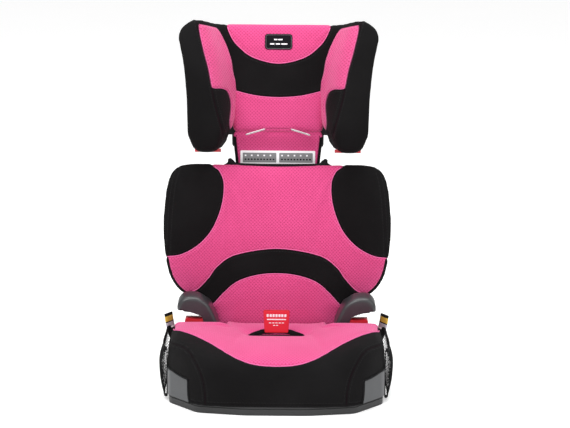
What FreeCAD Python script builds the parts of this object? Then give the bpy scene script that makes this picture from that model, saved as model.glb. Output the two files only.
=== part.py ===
"""High-back booster seat for a child: a moulded base with belt horns, a leaning backrest and a
height-adjustable headrest with side wings.

World frame: X to the seated child's left, Y towards the back, Z up, origin on the floor under the middle of
the base.  The backrest and headrest are drawn upright in the "back frame": x across, y to the rear, z up
along the backrest, origin on the padded surface where it meets the seat.  lean() puts them in place.
Units are millimetres.
"""
import FreeCAD, Part
import math
import os

Vec = FreeCAD.Vector

# ---- Driving dimensions --------------------------------------------------------------------------
# Base
BASE_HALF_W = 206.0
BASE_REAR_Y = 200.0
TRAY_Z = 0.0              # underside of the tray, flush with its rubber feet
FOOT_T = 2.5
HEAD_SINK = 2.2           # how deep the screw heads sit in the tray
TRAY_TOP = 12.0
DECK_Z = 72.0             # top of the moulded deck that carries the seat pad
WALL = 3.0
BAY_HALF_W = 132.0        # open bay at the rear that takes the foot of the backrest
BAY_FRONT_Y = 112.0
BAY_FLOOR_Z = 24.0
# Seat pad
PAD_GROW = 5.0            # fabric stands this far outside the shell
COVER_T = 3.0
SEAT_HEM_Z = 15.0
SEAT_REAR_Y = 111.0
SEAT_STATIONS = (         # y, height at the centre, height of the side bolsters
    (-225.0, 62.0, 70.0),
    (-214.0, 88.0, 104.0),
    (-200.0, 100.0, 119.0),
    (-175.0, 108.0, 128.0),
    (-130.0, 108.0, 130.0),
    (-60.0, 104.0, 126.0),
    (20.0, 100.0, 114.0),
    (SEAT_REAR_Y, 96.0, 104.0),
)
# Belt horns (armrests) and the red lap-belt guides
HORN_Y = (48.0, 113.0)
HORN_INNER_X = 107.0
HORN_OUTER_X = 198.0
HORN_TOP_Z = 169.0
GUIDE_TOP_Z = 121.0
GUIDE_REAR_Z = 109.0
GUIDE_X = (136.0, 187.0)
# Hinge between base and backrest
HINGE_Y, HINGE_Z = 172.0, 40.0
ROD_R = 5.0
RUNNING = 0.05            # radial clearance of a turning fit
EAR_R = 12.0
# Back frame
LEAN_DEG = 10.0
BACK_ORIGIN = Vec(0.0, 118.0, 94.0)
BACK_TOP = 325.0
BACK_BOTTOM = -25.0
PAD_T = 27.4
WING_FROM_X = 70.0
BACK_HALF_W = 228.0
BACK_OUTLINE = (          # height, half width of the backrest pad, how far the wings come forward
    (BACK_BOTTOM, 124.0, 4.0),
    (10.0, 126.0, 5.0),
    (34.0, 146.0, 6.0),
    (60.0, 184.0, 9.0),
    (100.0, 210.0, 28.0),
    (140.0, 221.0, 46.0),
    (195.0, BACK_HALF_W, 58.0),
    (250.0, 226.0, 62.0),
    (290.0, 217.0, 60.0),
    (312.0, 203.0, 56.0),
    (BACK_TOP, 176.0, 48.0),
)
CHANNEL_HALF_W = 100.0    # hollow behind the pad in which the headrest carriage slides
CHANNEL_Y = (31.0, 57.0)
REAR_T = 3.0
# Headrest, at the height it is set to
HEAD_TOP = 612.0
HEAD_PAD_BOTTOM = 392.0
HEAD_WING_BOTTOM = 356.0
HEAD_FRONT_Y = 8.0
HEAD_BACK_Y = 40.0
HEAD_STATIONS = (         # height, inner edge, front inner edge, outer edge, forward reach of the wing
    (HEAD_WING_BOTTOM, 116.0, 122.0, 164.0, 52.0),
    (372.0, 98.0, 112.0, 180.0, 84.0),
    (400.0, 88.0, 112.0, 178.0, 97.0),
    (450.0, 83.0, 122.0, 178.0, 102.0),
    (520.0, 82.0, 138.0, 184.0, 102.0),
    (570.0, 92.0, 148.0, 192.0, 98.0),
    (596.0, 110.0, 154.0, 194.0, 90.0),
    (HEAD_TOP, 134.0, 156.0, 186.0, 74.0),
)
NECK_BOTTOM = 205.0
NECK_Y = (32.5, 40.0)
NECK_ROOT_X = 66.0        # half width of the flap where it passes between the wings
# Height adjuster
HEAD_PITCH = 20.0
HEAD_STEPS = range(-1, 6)  # detents from 20 mm below to 100 mm above the set height
CARRIAGE_HALF_W = 79.5
CARRIAGE_Y = (43.0, 46.0)
PIN_Y, PIN_Z, PIN_R = 51.0, 150.0, 3.0
PIN_TRAVEL = 6.0
HANDLE_TRAVEL = 8.0
PEG_X, PEG_R = 44.0, 1.8
LINK_Y = (54.3, 55.8)
# Crotch clip for the lap belt
CLIP_HINGE_Z = 102.0
CLIP_HALF_SPAN = 50.0


# ---- Helpers -------------------------------------------------------------------------------------
def rounded_wire(points):
    """Closed wire in the XY plane through (x, y, corner radius) points."""
    count = len(points)
    corners = []
    for i, (px, py, radius) in enumerate(points):
        p = Vec(px, py, 0)
        before = Vec(points[i - 1][0], points[i - 1][1], 0)
        after = Vec(points[(i + 1) % count][0], points[(i + 1) % count][1], 0)
        if radius <= 0:
            corners.append((p, p, p))
            continue
        to_before = (before - p).normalize()
        to_after = (after - p).normalize()
        half = to_before.getAngle(to_after) / 2
        reach = radius / math.tan(half)
        bisector = (to_before + to_after).normalize()
        middle = p + bisector * (radius / math.sin(half) - radius)
        corners.append((p + to_before * reach, middle, p + to_after * reach))
    edges = []
    for i, (start, middle, end) in enumerate(corners):
        last = corners[i - 1][2]
        if (last - start).Length > 1e-6:
            edges.append(Part.makeLine(last, start))
        if (start - end).Length > 1e-6:
            edges.append(Part.Arc(start, middle, end).toShape())
    return Part.Wire(edges)


PLANES = {  # how a drawing's (a, b) axes and its depth lie in space
    "XY": ((1, 0, 0), (0, 1, 0), (0, 0, 1)),
    "XZ": ((1, 0, 0), (0, 0, 1), (0, 1, 0)),
    "YZ": ((0, 1, 0), (0, 0, 1), (1, 0, 0)),
}


def prism(points, plane, low, high, grow=0.0):
    """Solid from a rounded outline drawn in a plane and swept between two depths."""
    face = Part.Face(rounded_wire([p if len(p) == 3 else (*p, 0) for p in points]))
    if grow:
        face = face.makeOffset2D(grow)
    a, b, depth = (Vec(*v) for v in PLANES[plane])
    turn = a.cross(b)
    frame = FreeCAD.Matrix(a.x, b.x, turn.x, 0, a.y, b.y, turn.y, 0, a.z, b.z, turn.z, 0, 0, 0, 0, 1)
    if plane == "XY":
        placed = face
    else:
        placed = face.transformGeometry(frame) if grow else face.transformed(frame)
    placed.translate(depth * low)
    return placed.extrude(depth * (high - low))


def box(x, y, z):
    """Box between (low, high) pairs."""
    return Part.makeBox(x[1] - x[0], y[1] - y[0], z[1] - z[0], Vec(x[0], y[0], z[0]))


def rod(radius, start, end):
    """Round bar between two points."""
    start, end = Vec(*start), Vec(*end)
    return Part.makeCylinder(radius, (end - start).Length, start, end - start)


def skin(sections):
    """Closed solid through stacked polygons with the same number of corners."""
    wires = [Part.makePolygon(list(s) + [s[0]]) for s in sections]
    return Part.makeLoft(wires, True, True)


def mirrored(shape):
    """The same shape on the other side of the seat."""
    return shape.mirror(Vec(0, 0, 0), Vec(1, 0, 0))


def both(shape):
    """A shape and its mirror image, kept as separate solids."""
    return Part.makeCompound([shape, mirrored(shape)])


def fused(*shapes):
    """One clean solid from overlapping ones."""
    body = shapes[0]
    for other in shapes[1:]:
        body = body.fuse(other)
    return body.removeSplitter()


def lean(shape):
    """Moves a shape from the back frame to the world frame."""
    turn = FreeCAD.Rotation(Vec(1, 0, 0), -LEAN_DEG)
    return shape.transformed(FreeCAD.Placement(BACK_ORIGIN, turn).toMatrix(), True)


def smooth(value):
    """Eases from 0 to 1."""
    value = min(1.0, max(0.0, value))
    return value * value * (3 - 2 * value)


def between(table, key, column):
    """Reads a column of a station table at any key, by straight interpolation."""
    for low, high in zip(table, table[1:]):
        if low[0] <= key <= high[0]:
            share = (key - low[0]) / (high[0] - low[0])
            return low[column] + share * (high[column] - low[column])
    return table[0][column] if key < table[0][0] else table[-1][column]


def screw(head_r, shank_r, length, place, into):
    """Pan-head screw: the head sits on a surface at place, and the shank points into it."""
    place, into = Vec(*place), Vec(*into).normalize()
    head = Part.makeCylinder(head_r, shank_r, place, into * -1)
    slot_size = head_r * 1.2
    recess = Part.makeBox(slot_size, 0.8, shank_r * 0.6, Vec(-slot_size / 2, -0.4, 0))
    turn = FreeCAD.Rotation(Vec(0, 0, 1), into * -1)
    recess = recess.transformed(FreeCAD.Placement(place - into * (shank_r * 0.5), turn).toMatrix(), True)
    return head.fuse(Part.makeCylinder(shank_r, length, place, into)).cut(recess)


# ---- Base ----------------------------------------------------------------------------------------
BASE_PLAN = (
    (-60, -213, 120), (60, -213, 120), (150, -196, 26), (BASE_HALF_W, -132, 30),
    (BASE_HALF_W, BASE_REAR_Y, 35), (-BASE_HALF_W, BASE_REAR_Y, 35), (-BASE_HALF_W, -132, 30),
    (-150, -196, 26),
)
DECK_SCREWS = [(x, y) for x in (-170, 170) for y in (-90, 20, 165)]
FOOT_PLACES = [(x, y) for x in (-165, 165) for y in (-115, 128)]
HORN_SCREW_Y = (62.0, 98.0)


def base_tray():
    """Lower closing panel with an upstand rim; feet and screw heads sit flush in its underside."""
    tray = prism(BASE_PLAN, "XY", TRAY_Z, TRAY_TOP, 1.5)
    tray = tray.cut(prism(BASE_PLAN, "XY", TRAY_Z + WALL, TRAY_TOP + 1, -1.5))
    for x, y in FOOT_PLACES:
        boss = rod(16.5, (x, y, TRAY_Z + 1), (x, y, TRAY_Z + FOOT_T + WALL))
        tray = tray.fuse(boss).cut(rod(14.2, (x, y, TRAY_Z - 1), (x, y, TRAY_Z + FOOT_T)))
    for x, y in DECK_SCREWS:
        boss = rod(6.5, (x, y, TRAY_Z + 1), (x, y, TRAY_Z + HEAD_SINK + WALL))
        tray = tray.fuse(boss).cut(rod(4.2, (x, y, TRAY_Z - 1), (x, y, TRAY_Z + HEAD_SINK)))
        tray = tray.cut(rod(2.1, (x, y, TRAY_Z), (x, y, TRAY_TOP)))
    return tray.removeSplitter()


def base_shell():
    """Upper moulding: side walls, deck, open rear bay, ribs and the ears that carry the hinge rod."""
    low = TRAY_TOP + 0.2
    outer = prism(BASE_PLAN, "XY", low, DECK_Z)
    shell = outer.cut(prism(BASE_PLAN, "XY", low - 1, DECK_Z - WALL, -WALL))
    bay = box((-BAY_HALF_W, BAY_HALF_W), (BAY_FRONT_Y, BASE_REAR_Y + 1), (BAY_FLOOR_Z, DECK_Z + 1))
    lining = box((-BAY_HALF_W - WALL, BAY_HALF_W + WALL), (BAY_FRONT_Y - WALL, BASE_REAR_Y - 1),
                 (BAY_FLOOR_Z - WALL, DECK_Z - 1))
    shell = shell.fuse(lining).cut(bay)
    for x in (-150, -75, 0, 75, 150):
        shell = shell.fuse(box((x - 1.2, x + 1.2), (-190, BAY_FRONT_Y - 1), (46, DECK_Z - 1)))
    for y in (-120, -50, 20):
        shell = shell.fuse(box((-BASE_HALF_W + 2, BASE_HALF_W - 2), (y - 1.2, y + 1.2), (46, DECK_Z - 1)))
    for x, y in DECK_SCREWS:
        post = rod(6, (x, y, low), (x, y, DECK_Z - 1))
        shell = shell.fuse(post).cut(rod(1.9, (x, y, low - 1), (x, y, low + 16)))
    for inner, outer_x in ((95.0, 102.4), (116.6, 124.0)):
        ear = rod(EAR_R, (inner, HINGE_Y, HINGE_Z), (outer_x, HINGE_Y, HINGE_Z))
        web = box((inner, outer_x), (HINGE_Y - EAR_R, HINGE_Y + EAR_R), (BAY_FLOOR_Z - 1, HINGE_Z))
        shell = shell.fuse(both(ear.fuse(web)))
    shell = shell.cut(rod(ROD_R, (-127, HINGE_Y, HINGE_Z), (127, HINGE_Y, HINGE_Z)))
    slot = box((-56, 56), (-9, 9), (DECK_Z - 40, DECK_Z + 1))
    pocket = box((-60, 60), (-13, 13), (44, DECK_Z - 1)).cut(slot)
    shell = shell.fuse(pocket).cut(slot)
    shell = shell.cut(rod(3, (-62, 0, 52), (62, 0, 52)))
    for y in HORN_SCREW_Y:
        shell = shell.cut(both(rod(2.2, (120, y, DECK_Z - 5), (120, y, DECK_Z + 1))))
    return shell.removeSplitter()


def corner_window(inner_x, rear_y):
    """Plan of the opening for a corner panel: its inner side is square to the chamfered front corner."""
    across, along = Vec(0.753, -0.658, 0), Vec(0.658, 0.753, 0)
    foot = Vec(150, -196, 0) + along * ((inner_x - 150) / along.x)
    outer, inner = foot + across * 40, foot - across * 14
    return ((outer.x, outer.y), (260, outer.y), (260, rear_y), (188, rear_y), (inner.x, inner.y))


def corner_trim():
    """Grey cover panel on the chamfered front corner, left-hand side."""
    ring = prism(BASE_PLAN, "XY", 16, 67, 4.2).cut(prism(BASE_PLAN, "XY", 15, 68, 0.2))
    slope = prism(((100, 62, 0), (162, 62, 0), (214, 67, 0), (214, 90, 0), (100, 90, 0)), "XZ", -240, -100)
    return ring.common(prism(corner_window(164, -118), "XY", 15, 68)).cut(slope)


def seat_section(y, centre, side, half_w, drop):
    """Closed polygon across the seat pad at one depth, lowered by drop."""
    shares = (0.0, 0.25, 0.45, 0.62, 0.76, 0.88, 0.95, 1.0)
    half = []
    for share in shares:
        height = centre + (side - centre) * smooth((share - 0.35) / 0.5)
        height -= 16 * smooth((share - 0.86) / 0.14)
        half.append((share * half_w, height - drop))
    top = [Vec(-x, y, z) for x, z in reversed(half)] + [Vec(x, y, z) for x, z in half[1:]]
    return top + [Vec(half_w, y, SEAT_HEM_Z - drop), Vec(-half_w, y, SEAT_HEM_Z - drop)]


def seat_block(inset):
    """The padded seat with its skirt, as one solid, drawn in by inset."""
    wide = BASE_HALF_W + PAD_GROW - inset
    sections = [seat_section(y, centre - inset, side - inset, wide, 0) for y, centre, side in SEAT_STATIONS]
    block = skin(sections).common(prism(BASE_PLAN, "XY", 0, 200, PAD_GROW - inset))
    rear = box((-300, 300), (SEAT_REAR_Y - inset, 300), (0, 200))
    horns = box((HORN_INNER_X - 3 - inset, 300), (HORN_Y[0] - 3 - inset, 300), (0, 200))
    return block.cut(rear).cut(horns).cut(mirrored(horns))


def clip_opening(grow):
    """Room for the crotch strap through the pad."""
    return box((-54 - grow, 54 + grow), (-7 - grow, 7 + grow), (DECK_Z - 1, 140))


def seat_foam():
    """Foam pad on the deck."""
    foam = seat_block(COVER_T + 0.2)
    foam = foam.cut(box((-300, 300), (-300, 300), (0, DECK_Z + 0.1)))
    return foam.cut(clip_opening(5))


def seat_cover():
    """Fabric cover over the foam, with a skirt down the front and sides and openings at the front corners."""
    cover = seat_block(0).cut(seat_block(COVER_T))
    inside = prism(BASE_PLAN, "XY", 0, DECK_Z, 0.3)
    cover = cover.cut(inside)
    corner = prism(corner_window(161, -115), "XY", 0, 200)
    slope = ((90, 65, 0), (162, 65, 0), (214, 70, 0), (240, 72, 0), (240, 210, 0), (90, 210, 0))
    corner = corner.cut(prism(slope, "XZ", -250, -100))
    cover = cover.cut(corner).cut(mirrored(corner))
    return cover.cut(clip_opening(5))


def clip_bezel():
    """Black ring that lines the slot in the seat."""
    outline = ((-54, -7, 6), (54, -7, 6), (54, 7, 6), (-54, 7, 6))
    sleeve = prism(outline, "XY", DECK_Z + 0.2, 101.5, 4.6)
    return sleeve.cut(prism(outline, "XY", DECK_Z - 1, 120.0, 1.2))


def armrest():
    """Belt horn: a hooked arm that rises from the deck beside the child and overhangs the lap belt."""
    outer_x, inner_x, top = HORN_OUTER_X, HORN_INNER_X, HORN_TOP_Z
    section = (
        (inner_x, DECK_Z + 0.2, 0), (inner_x, 112, 30), (132, top, 26), (184, top, 22),
        (outer_x, 142, 3), (outer_x - 8, 140, 3), (178, 153, 14), (146, 153, 14),
        (134, 118, 20), (GUIDE_X[0] - 1, DECK_Z + 0.2, 0),
    )
    arm = prism(section, "XZ", *HORN_Y)
    side_view = (
        (HORN_Y[0] - 1, DECK_Z - 1, 0), (HORN_Y[0] - 1, 140, 12), (HORN_Y[0] + 14, top + 1, 26),
        (HORN_Y[1] + 1, top + 1, 22), (HORN_Y[1] + 1, DECK_Z - 1, 0),
    )
    arm = arm.common(prism(side_view, "YZ", 90, 210))
    hollow = prism(section, "XZ", HORN_Y[0] + 6, HORN_Y[1] - 6, -4)
    arm = arm.cut(hollow)
    lip = ((138, 141.5, 0), (194, 141.5, 0), (188, 156, 0), (142, 156, 0))
    web = (
        (136, GUIDE_TOP_Z + 1, 0), (183, GUIDE_TOP_Z + 1, 0), (186, 131, 12), (195, 141.5, 0),
        (184, 156, 0), (146, 156, 0),
    )
    arm = arm.fuse(prism(lip, "XZ", HORN_Y[0] + 1.5, HORN_Y[0] + 5))
    arm = arm.fuse(prism(web, "XZ", 105, HORN_Y[1] - 3))
    for y in HORN_SCREW_Y:
        arm = arm.fuse(rod(6, (120, y, DECK_Z + 0.2), (120, y, DECK_Z + 24)))
        arm = arm.cut(rod(2.0, (120, y, DECK_Z), (120, y, DECK_Z + 16)))
    return arm.removeSplitter()


def lap_belt_guide():
    """Red saddle under the horn that the lap belt slides over; its top falls to the rear."""
    y_low, y_high = HORN_Y[0] + 1, HORN_Y[1] - 1

    def under_top(shape, gap):
        """The part of a shape that lies at least a gap below the sloping top."""
        side_view = (
            (y_low - 1, DECK_Z - 5), (y_high + 1, DECK_Z - 5), (y_high + 1, GUIDE_REAR_Z - gap),
            (y_low - 1, GUIDE_TOP_Z + 1 - gap),
        )
        return shape.common(prism(side_view, "YZ", GUIDE_X[0] - 5, GUIDE_X[1] + 5))

    section = (
        (GUIDE_X[0], DECK_Z + 0.2, 0), (GUIDE_X[0] + 2, GUIDE_TOP_Z, 6), (160, GUIDE_TOP_Z - 4, 40),
        (GUIDE_X[1] - 3, GUIDE_TOP_Z, 6), (GUIDE_X[1], DECK_Z + 0.2, 0),
    )
    saddle = under_top(prism(section, "XZ", y_low, y_high), 0)
    hollow = under_top(prism(section, "XZ", y_low + 3, y_high - 3, -3), 3)
    mouth = box((GUIDE_X[0] + 4, GUIDE_X[1] - 4), (y_low + 3, y_high - 3), (DECK_Z, DECK_Z + 8))
    return saddle.cut(hollow).cut(mouth)


POCKET_Y = (-118.0, 40.0)
POCKET_Z = (8.0, 100.0)
POCKET_BULGE = 19.0


def pocket_section(z, grow):
    """Plan of the bulging net pocket at one height: a flattened half ellipse against the seat's side."""
    rise = (z - POCKET_Z[0]) / (POCKET_Z[1] - POCKET_Z[0])
    bulge = POCKET_BULGE * (0.12 + 0.88 * math.sin(math.pi * (0.10 + 0.78 * rise))) - grow
    side = BASE_HALF_W + PAD_GROW + 0.4
    middle = (POCKET_Y[0] + POCKET_Y[1]) / 2
    half = (POCKET_Y[1] - POCKET_Y[0]) / 2 - grow
    steps = 14
    arc = []
    for i in range(steps + 1):
        angle = math.pi * i / steps
        arc.append(Vec(side + bulge * math.sin(angle) ** 0.7, middle - half * math.cos(angle), z))
    return arc


def side_pocket():
    """Net storage pocket on the side of the base, open at the top."""
    heights = [POCKET_Z[0] + (POCKET_Z[1] - POCKET_Z[0]) * i / 5 for i in range(6)]
    outer = skin([pocket_section(z, 0) for z in heights])
    heights[0] += 2
    heights[-1] += 1
    return outer.cut(skin([pocket_section(z, 1.5) for z in heights]))


def pocket_hem():
    """Elastic hem around the mouth of the net pocket."""
    low, high = POCKET_Z[1] + 0.2, POCKET_Z[1] + 7
    ring = []
    for grow in (-0.6, 2.0):
        base = pocket_section(POCKET_Z[1], grow)
        ring.append(skin([[Vec(p.x, p.y, z) for p in base] for z in (low, high)]))
    return ring[0].cut(ring[1])


def anchor_strap():
    """Folded webbing pull tab of the lower anchor strap, standing up behind the seat side."""
    side = BASE_HALF_W + 0.6
    path = ((side, 30), (side + 3, 30), (side + 3, 72), (side + 17, 118), (side + 13, 119), (side, 75))
    return prism(path, "XZ", 96, 121)


def clip_anchor_strap():
    """Fixed part of the crotch strap, from the anchor bar up to the slot."""
    tail = box((-CLIP_HALF_SPAN, CLIP_HALF_SPAN), (-1.0, 1.0), (56, CLIP_HINGE_Z - 3))
    loop = rod(5, (-CLIP_HALF_SPAN, 0, 52), (CLIP_HALF_SPAN, 0, 52))
    return loop.fuse(tail).cut(rod(3.1, (-60, 0, 52), (60, 0, 52)))


def clip_strap():
    """Loop of webbing above the seat that carries the clip."""
    outline = (
        (-CLIP_HALF_SPAN, CLIP_HINGE_Z, 0), (-30, CLIP_HINGE_Z + 9, 12), (-16, CLIP_HINGE_Z + 15, 6),
        (16, CLIP_HINGE_Z + 15, 6), (30, CLIP_HINGE_Z + 11, 8), (CLIP_HALF_SPAN, CLIP_HINGE_Z, 0),
    )
    fold = rod(1.4, (-CLIP_HALF_SPAN, 0, CLIP_HINGE_Z), (CLIP_HALF_SPAN, 0, CLIP_HINGE_Z))
    return prism(outline, "XZ", -1.0, 1.0).fuse(fold)


def belt_clip():
    """Red clip for the lap belt: a flared plate in front of the webbing with two hooks behind it."""
    low, high = CLIP_HINGE_Z + 4, CLIP_HINGE_Z + 50
    plate = prism(((-23.5, low, 3), (23.5, low, 3), (26.5, high, 4), (-26.5, high, 4)), "XZ", -6.0, -1.4)
    bridge = box((-15, 15), (-1.5, 1.6), (CLIP_HINGE_Z + 16, CLIP_HINGE_Z + 22))
    outline = ((-15, low + 3, 2), (15, low + 3, 2), (18, high - 12, 4), (-18, high - 12, 4))
    back = prism(outline, "XZ", 1.4, 5.0)
    hooks = box((-26, 26), (-1.5, 5.0), (high - 8, high - 3))
    stem = box((-8, 8), (1.4, 5.0), (high - 14, high - 4))
    return fused(plate, bridge, back, hooks, stem)


# ---- Backrest (drawn upright in the back frame) --------------------------------------------------
def wing_depth(x, reach):
    """How far the padded surface stands forward of the middle at x."""
    return reach * smooth((abs(x) - WING_FROM_X) / (BACK_HALF_W - WING_FROM_X))


def back_section(z, half_w, reach, front, rear):
    """Closed polygon across the backrest between two offsets behind its padded surface."""
    steps = 12
    xs = [half_w * i / steps for i in range(-steps, steps + 1)]
    ahead = [Vec(x, front - wing_depth(x, reach), z) for x in xs]
    behind = [Vec(x, rear - wing_depth(x, reach), z) for x in reversed(xs)]
    return ahead + behind


def back_block(inset, front, rear, low=BACK_BOTTOM, high=BACK_TOP):
    """Backrest layer between two depths, its outline drawn in by inset."""
    heights = [low] + [row[0] for row in BACK_OUTLINE if low + 6 < row[0] < high - 6] + [high]
    sections = []
    for z in heights:
        half_w = between(BACK_OUTLINE, z, 1) - inset
        sections.append(back_section(z, half_w, between(BACK_OUTLINE, z, 2), front, rear))
    return skin(sections)


def backrest_foam():
    """Foam layer of the backrest."""
    inset = COVER_T + 0.2
    return back_block(inset, inset, PAD_T - inset, BACK_BOTTOM + inset, BACK_TOP - inset)


def backrest_cover():
    """Fabric cover that wraps the foam."""
    inner = back_block(COVER_T, COVER_T, PAD_T - COVER_T, BACK_BOTTOM + COVER_T, BACK_TOP - COVER_T)
    return back_block(0, 0, PAD_T).cut(inner)


SHELL_BOTTOM, SHELL_TOP = -30.0, 316.0
REAR_SCREWS = [(x, z) for x in (-92, 92) for z in (0, 100, 200, 300)]


def backrest_shell():
    """Moulded structural shell behind the pad, with the walls of the carriage channel and stiffening ribs."""
    shell = back_block(8, PAD_T + 0.8, CHANNEL_Y[0], SHELL_BOTTOM + 6, SHELL_TOP)
    across, deep = (CHANNEL_HALF_W, CHANNEL_HALF_W + WALL), (CHANNEL_Y[0] - 1.5, CHANNEL_Y[1])
    wall = box(across, deep, (SHELL_BOTTOM, SHELL_TOP - 4))
    floor = box((-CHANNEL_HALF_W - WALL, CHANNEL_HALF_W + WALL), (CHANNEL_Y[0] - 1.5, CHANNEL_Y[1]),
                (SHELL_BOTTOM, SHELL_BOTTOM + WALL))
    shell = shell.fuse(wall).fuse(mirrored(wall)).fuse(floor)
    for z in (70, 130, 190, 250, 300):
        half_w = between(BACK_OUTLINE, z, 1) - 16
        reach = between(BACK_OUTLINE, z, 2)
        rib = (
            (CHANNEL_HALF_W + 1, CHANNEL_Y[0] - 2 - wing_depth(CHANNEL_HALF_W, reach)),
            (half_w, CHANNEL_Y[0] - 2 - wing_depth(half_w, reach)),
            (half_w, CHANNEL_Y[0] + 4 - wing_depth(half_w, reach)),
            (CHANNEL_HALF_W + 1, CHANNEL_Y[1] - 4),
        )
        fin = prism(rib, "XY", z - 1.25, z + 1.25)
        keep = back_block(8, CHANNEL_Y[0] - 1, 120, SHELL_BOTTOM + 6, SHELL_TOP)
        fin = fin.common(keep)
        shell = shell.fuse(fin).fuse(mirrored(fin))
    for x, z in REAR_SCREWS:
        reach = (x - 6, CHANNEL_HALF_W + 1) if x > 0 else (-CHANNEL_HALF_W - 1, x + 6)
        post = box(reach, (CHANNEL_Y[1] - 14, CHANNEL_Y[1]), (z - 6, z + 6))
        shell = shell.fuse(post).cut(rod(1.6, (x, CHANNEL_Y[1] - 12, z), (x, CHANNEL_Y[1] + 1, z)))
    return shell.removeSplitter()


def rear_cover():
    """Rear panel that closes the carriage channel."""
    edge = CHANNEL_HALF_W + WALL
    top = SHELL_TOP - 4
    outline = ((-edge, SHELL_BOTTOM, 10), (edge, SHELL_BOTTOM, 10), (edge, top, 14), (-edge, top, 14))
    face_y = CHANNEL_Y[1] + REAR_T
    panel = prism(outline, "XZ", CHANNEL_Y[1] + 0.1, face_y)
    for z in (60, 110, 160, 210):
        rib = prism(((-70, z, 3), (70, z, 3), (70, z + 8, 3), (-70, z + 8, 3)), "XZ", face_y - 1, face_y + 2)
        panel = panel.fuse(rib)
    for x, z in REAR_SCREWS:
        panel = panel.cut(rod(1.8, (x, CHANNEL_Y[1] - 1, z), (x, CHANNEL_Y[1] + 9, z)))
    return panel.removeSplitter()


def guide_rail():
    """Channel rail that holds one edge of the carriage, with a row of detent holes for the latch pin."""
    low, high = 36.0, 308.0
    web = box((81, 84), (40.8, 56.4), (low, high))
    flange = box((83, 98), (54.4, 56.4), (low, high))
    front_lip = box((72, 82), (40.8, 42.6), (low, high))
    rear_lip = box((75, 82), (46.4, 47.6), (low, high))
    rail = fused(web, flange, front_lip, rear_lip)
    for step in HEAD_STEPS:
        z = PIN_Z + HEAD_PITCH * step
        rail = rail.cut(rod(PIN_R + 0.2, (80, PIN_Y, z), (86, PIN_Y, z)))
    for x, z in REAR_SCREWS:
        if x > 0:
            rail = rail.cut(box((x - 7, x + 7), (40, 57), (z - 7, z + 7)))
    return rail


def back_point(y, z):
    """World (y, z) of a back-frame point."""
    angle = math.radians(LEAN_DEG)
    return (BACK_ORIGIN.y + y * math.cos(angle) + z * math.sin(angle),
            BACK_ORIGIN.z - y * math.sin(angle) + z * math.cos(angle))


def hinge_hook():
    """Knuckle bolted to the side of the channel that turns on the hinge rod (drawn in the world frame)."""
    x_low, x_high = CHANNEL_HALF_W + WALL + 0.1, 116.0
    upper = [back_point(54, 26), back_point(34, 26)]
    foot = [(HINGE_Y - 10, HINGE_Z - 2, 0), (HINGE_Y + 10, HINGE_Z - 2, 0)]
    arm = prism(foot + [(*place, 4) for place in upper], "YZ", x_low, x_high)
    knuckle = rod(EAR_R, (x_low, HINGE_Y, HINGE_Z), (x_high, HINGE_Y, HINGE_Z))
    hook = fused(arm, knuckle)
    return hook.cut(rod(ROD_R + RUNNING, (x_low - 1, HINGE_Y, HINGE_Z), (x_high + 1, HINGE_Y, HINGE_Z)))


# ---- Top tether on the rear of the backrest ------------------------------------------------------
TETHER_Y = CHANNEL_Y[1] + REAR_T


def tether_anchor():
    """Slotted steel plate bolted to the rear panel."""
    outline = ((-26, 240, 5), (26, 240, 5), (26, 268, 5), (-26, 268, 5))
    slot = ((-20, 246, 2), (20, 246, 2), (20, 252, 2), (-20, 252, 2))
    plate = prism(outline, "XZ", TETHER_Y + 0.1, TETHER_Y + 2.6)
    return plate.cut(prism(slot, "XZ", TETHER_Y, TETHER_Y + 4))


def tether_strap():
    """Top tether webbing, hanging from its anchor."""
    return box((-19, 19), (TETHER_Y + 2.8, TETHER_Y + 4.4), (62, 258))


def tether_adjuster():
    """Strap adjuster buckle with a lift tab."""
    outline = ((-25, 150, 4), (25, 150, 4), (25, 184, 4), (-25, 184, 4))
    body = prism(outline, "XZ", TETHER_Y + 4.6, TETHER_Y + 12)
    body = body.cut(box((-20, 20), (TETHER_Y + 7, TETHER_Y + 20), (158, 176)))
    tab = box((-14, 14), (TETHER_Y + 8, TETHER_Y + 10), (157, 171))
    bar = box((-21, 21), (TETHER_Y + 6.5, TETHER_Y + 10), (170, 173))
    return fused(body, tab, bar)


def tether_hook():
    """Snap hook at the end of the tether."""
    outline = ((-15, 30, 6), (15, 30, 6), (23, 60, 4), (-23, 60, 4))
    plate = prism(outline, "XZ", TETHER_Y + 2.6, TETHER_Y + 5.2)
    mouth = prism(((-7, 36, 3), (7, 36, 3), (7, 50, 3), (-7, 50, 3)), "XZ", TETHER_Y, TETHER_Y + 9)
    return plate.cut(mouth)


# ---- Headrest (drawn upright in the back frame) --------------------------------------------------
def wing_section(z, inner, front, outer, reach, inset):
    """Plan of one side wing at one height."""
    corner = min(10.0, reach * 0.3)
    return [
        Vec(inner - 16 + inset, HEAD_BACK_Y - inset, z),
        Vec(inner + inset, HEAD_FRONT_Y + 2 + inset, z),
        Vec(front + inset, corner - reach + inset, z),
        Vec(front + 8 + inset * 0.7, -reach + inset, z),
        Vec(outer - 10 - inset * 0.7, -reach + 2 + inset, z),
        Vec(outer - inset, corner + 4 - reach + inset, z),
        Vec(inner + 44 - inset, HEAD_BACK_Y - 8 - inset, z),
        Vec(inner + 34 - inset, HEAD_BACK_Y - inset, z),
    ]


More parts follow.
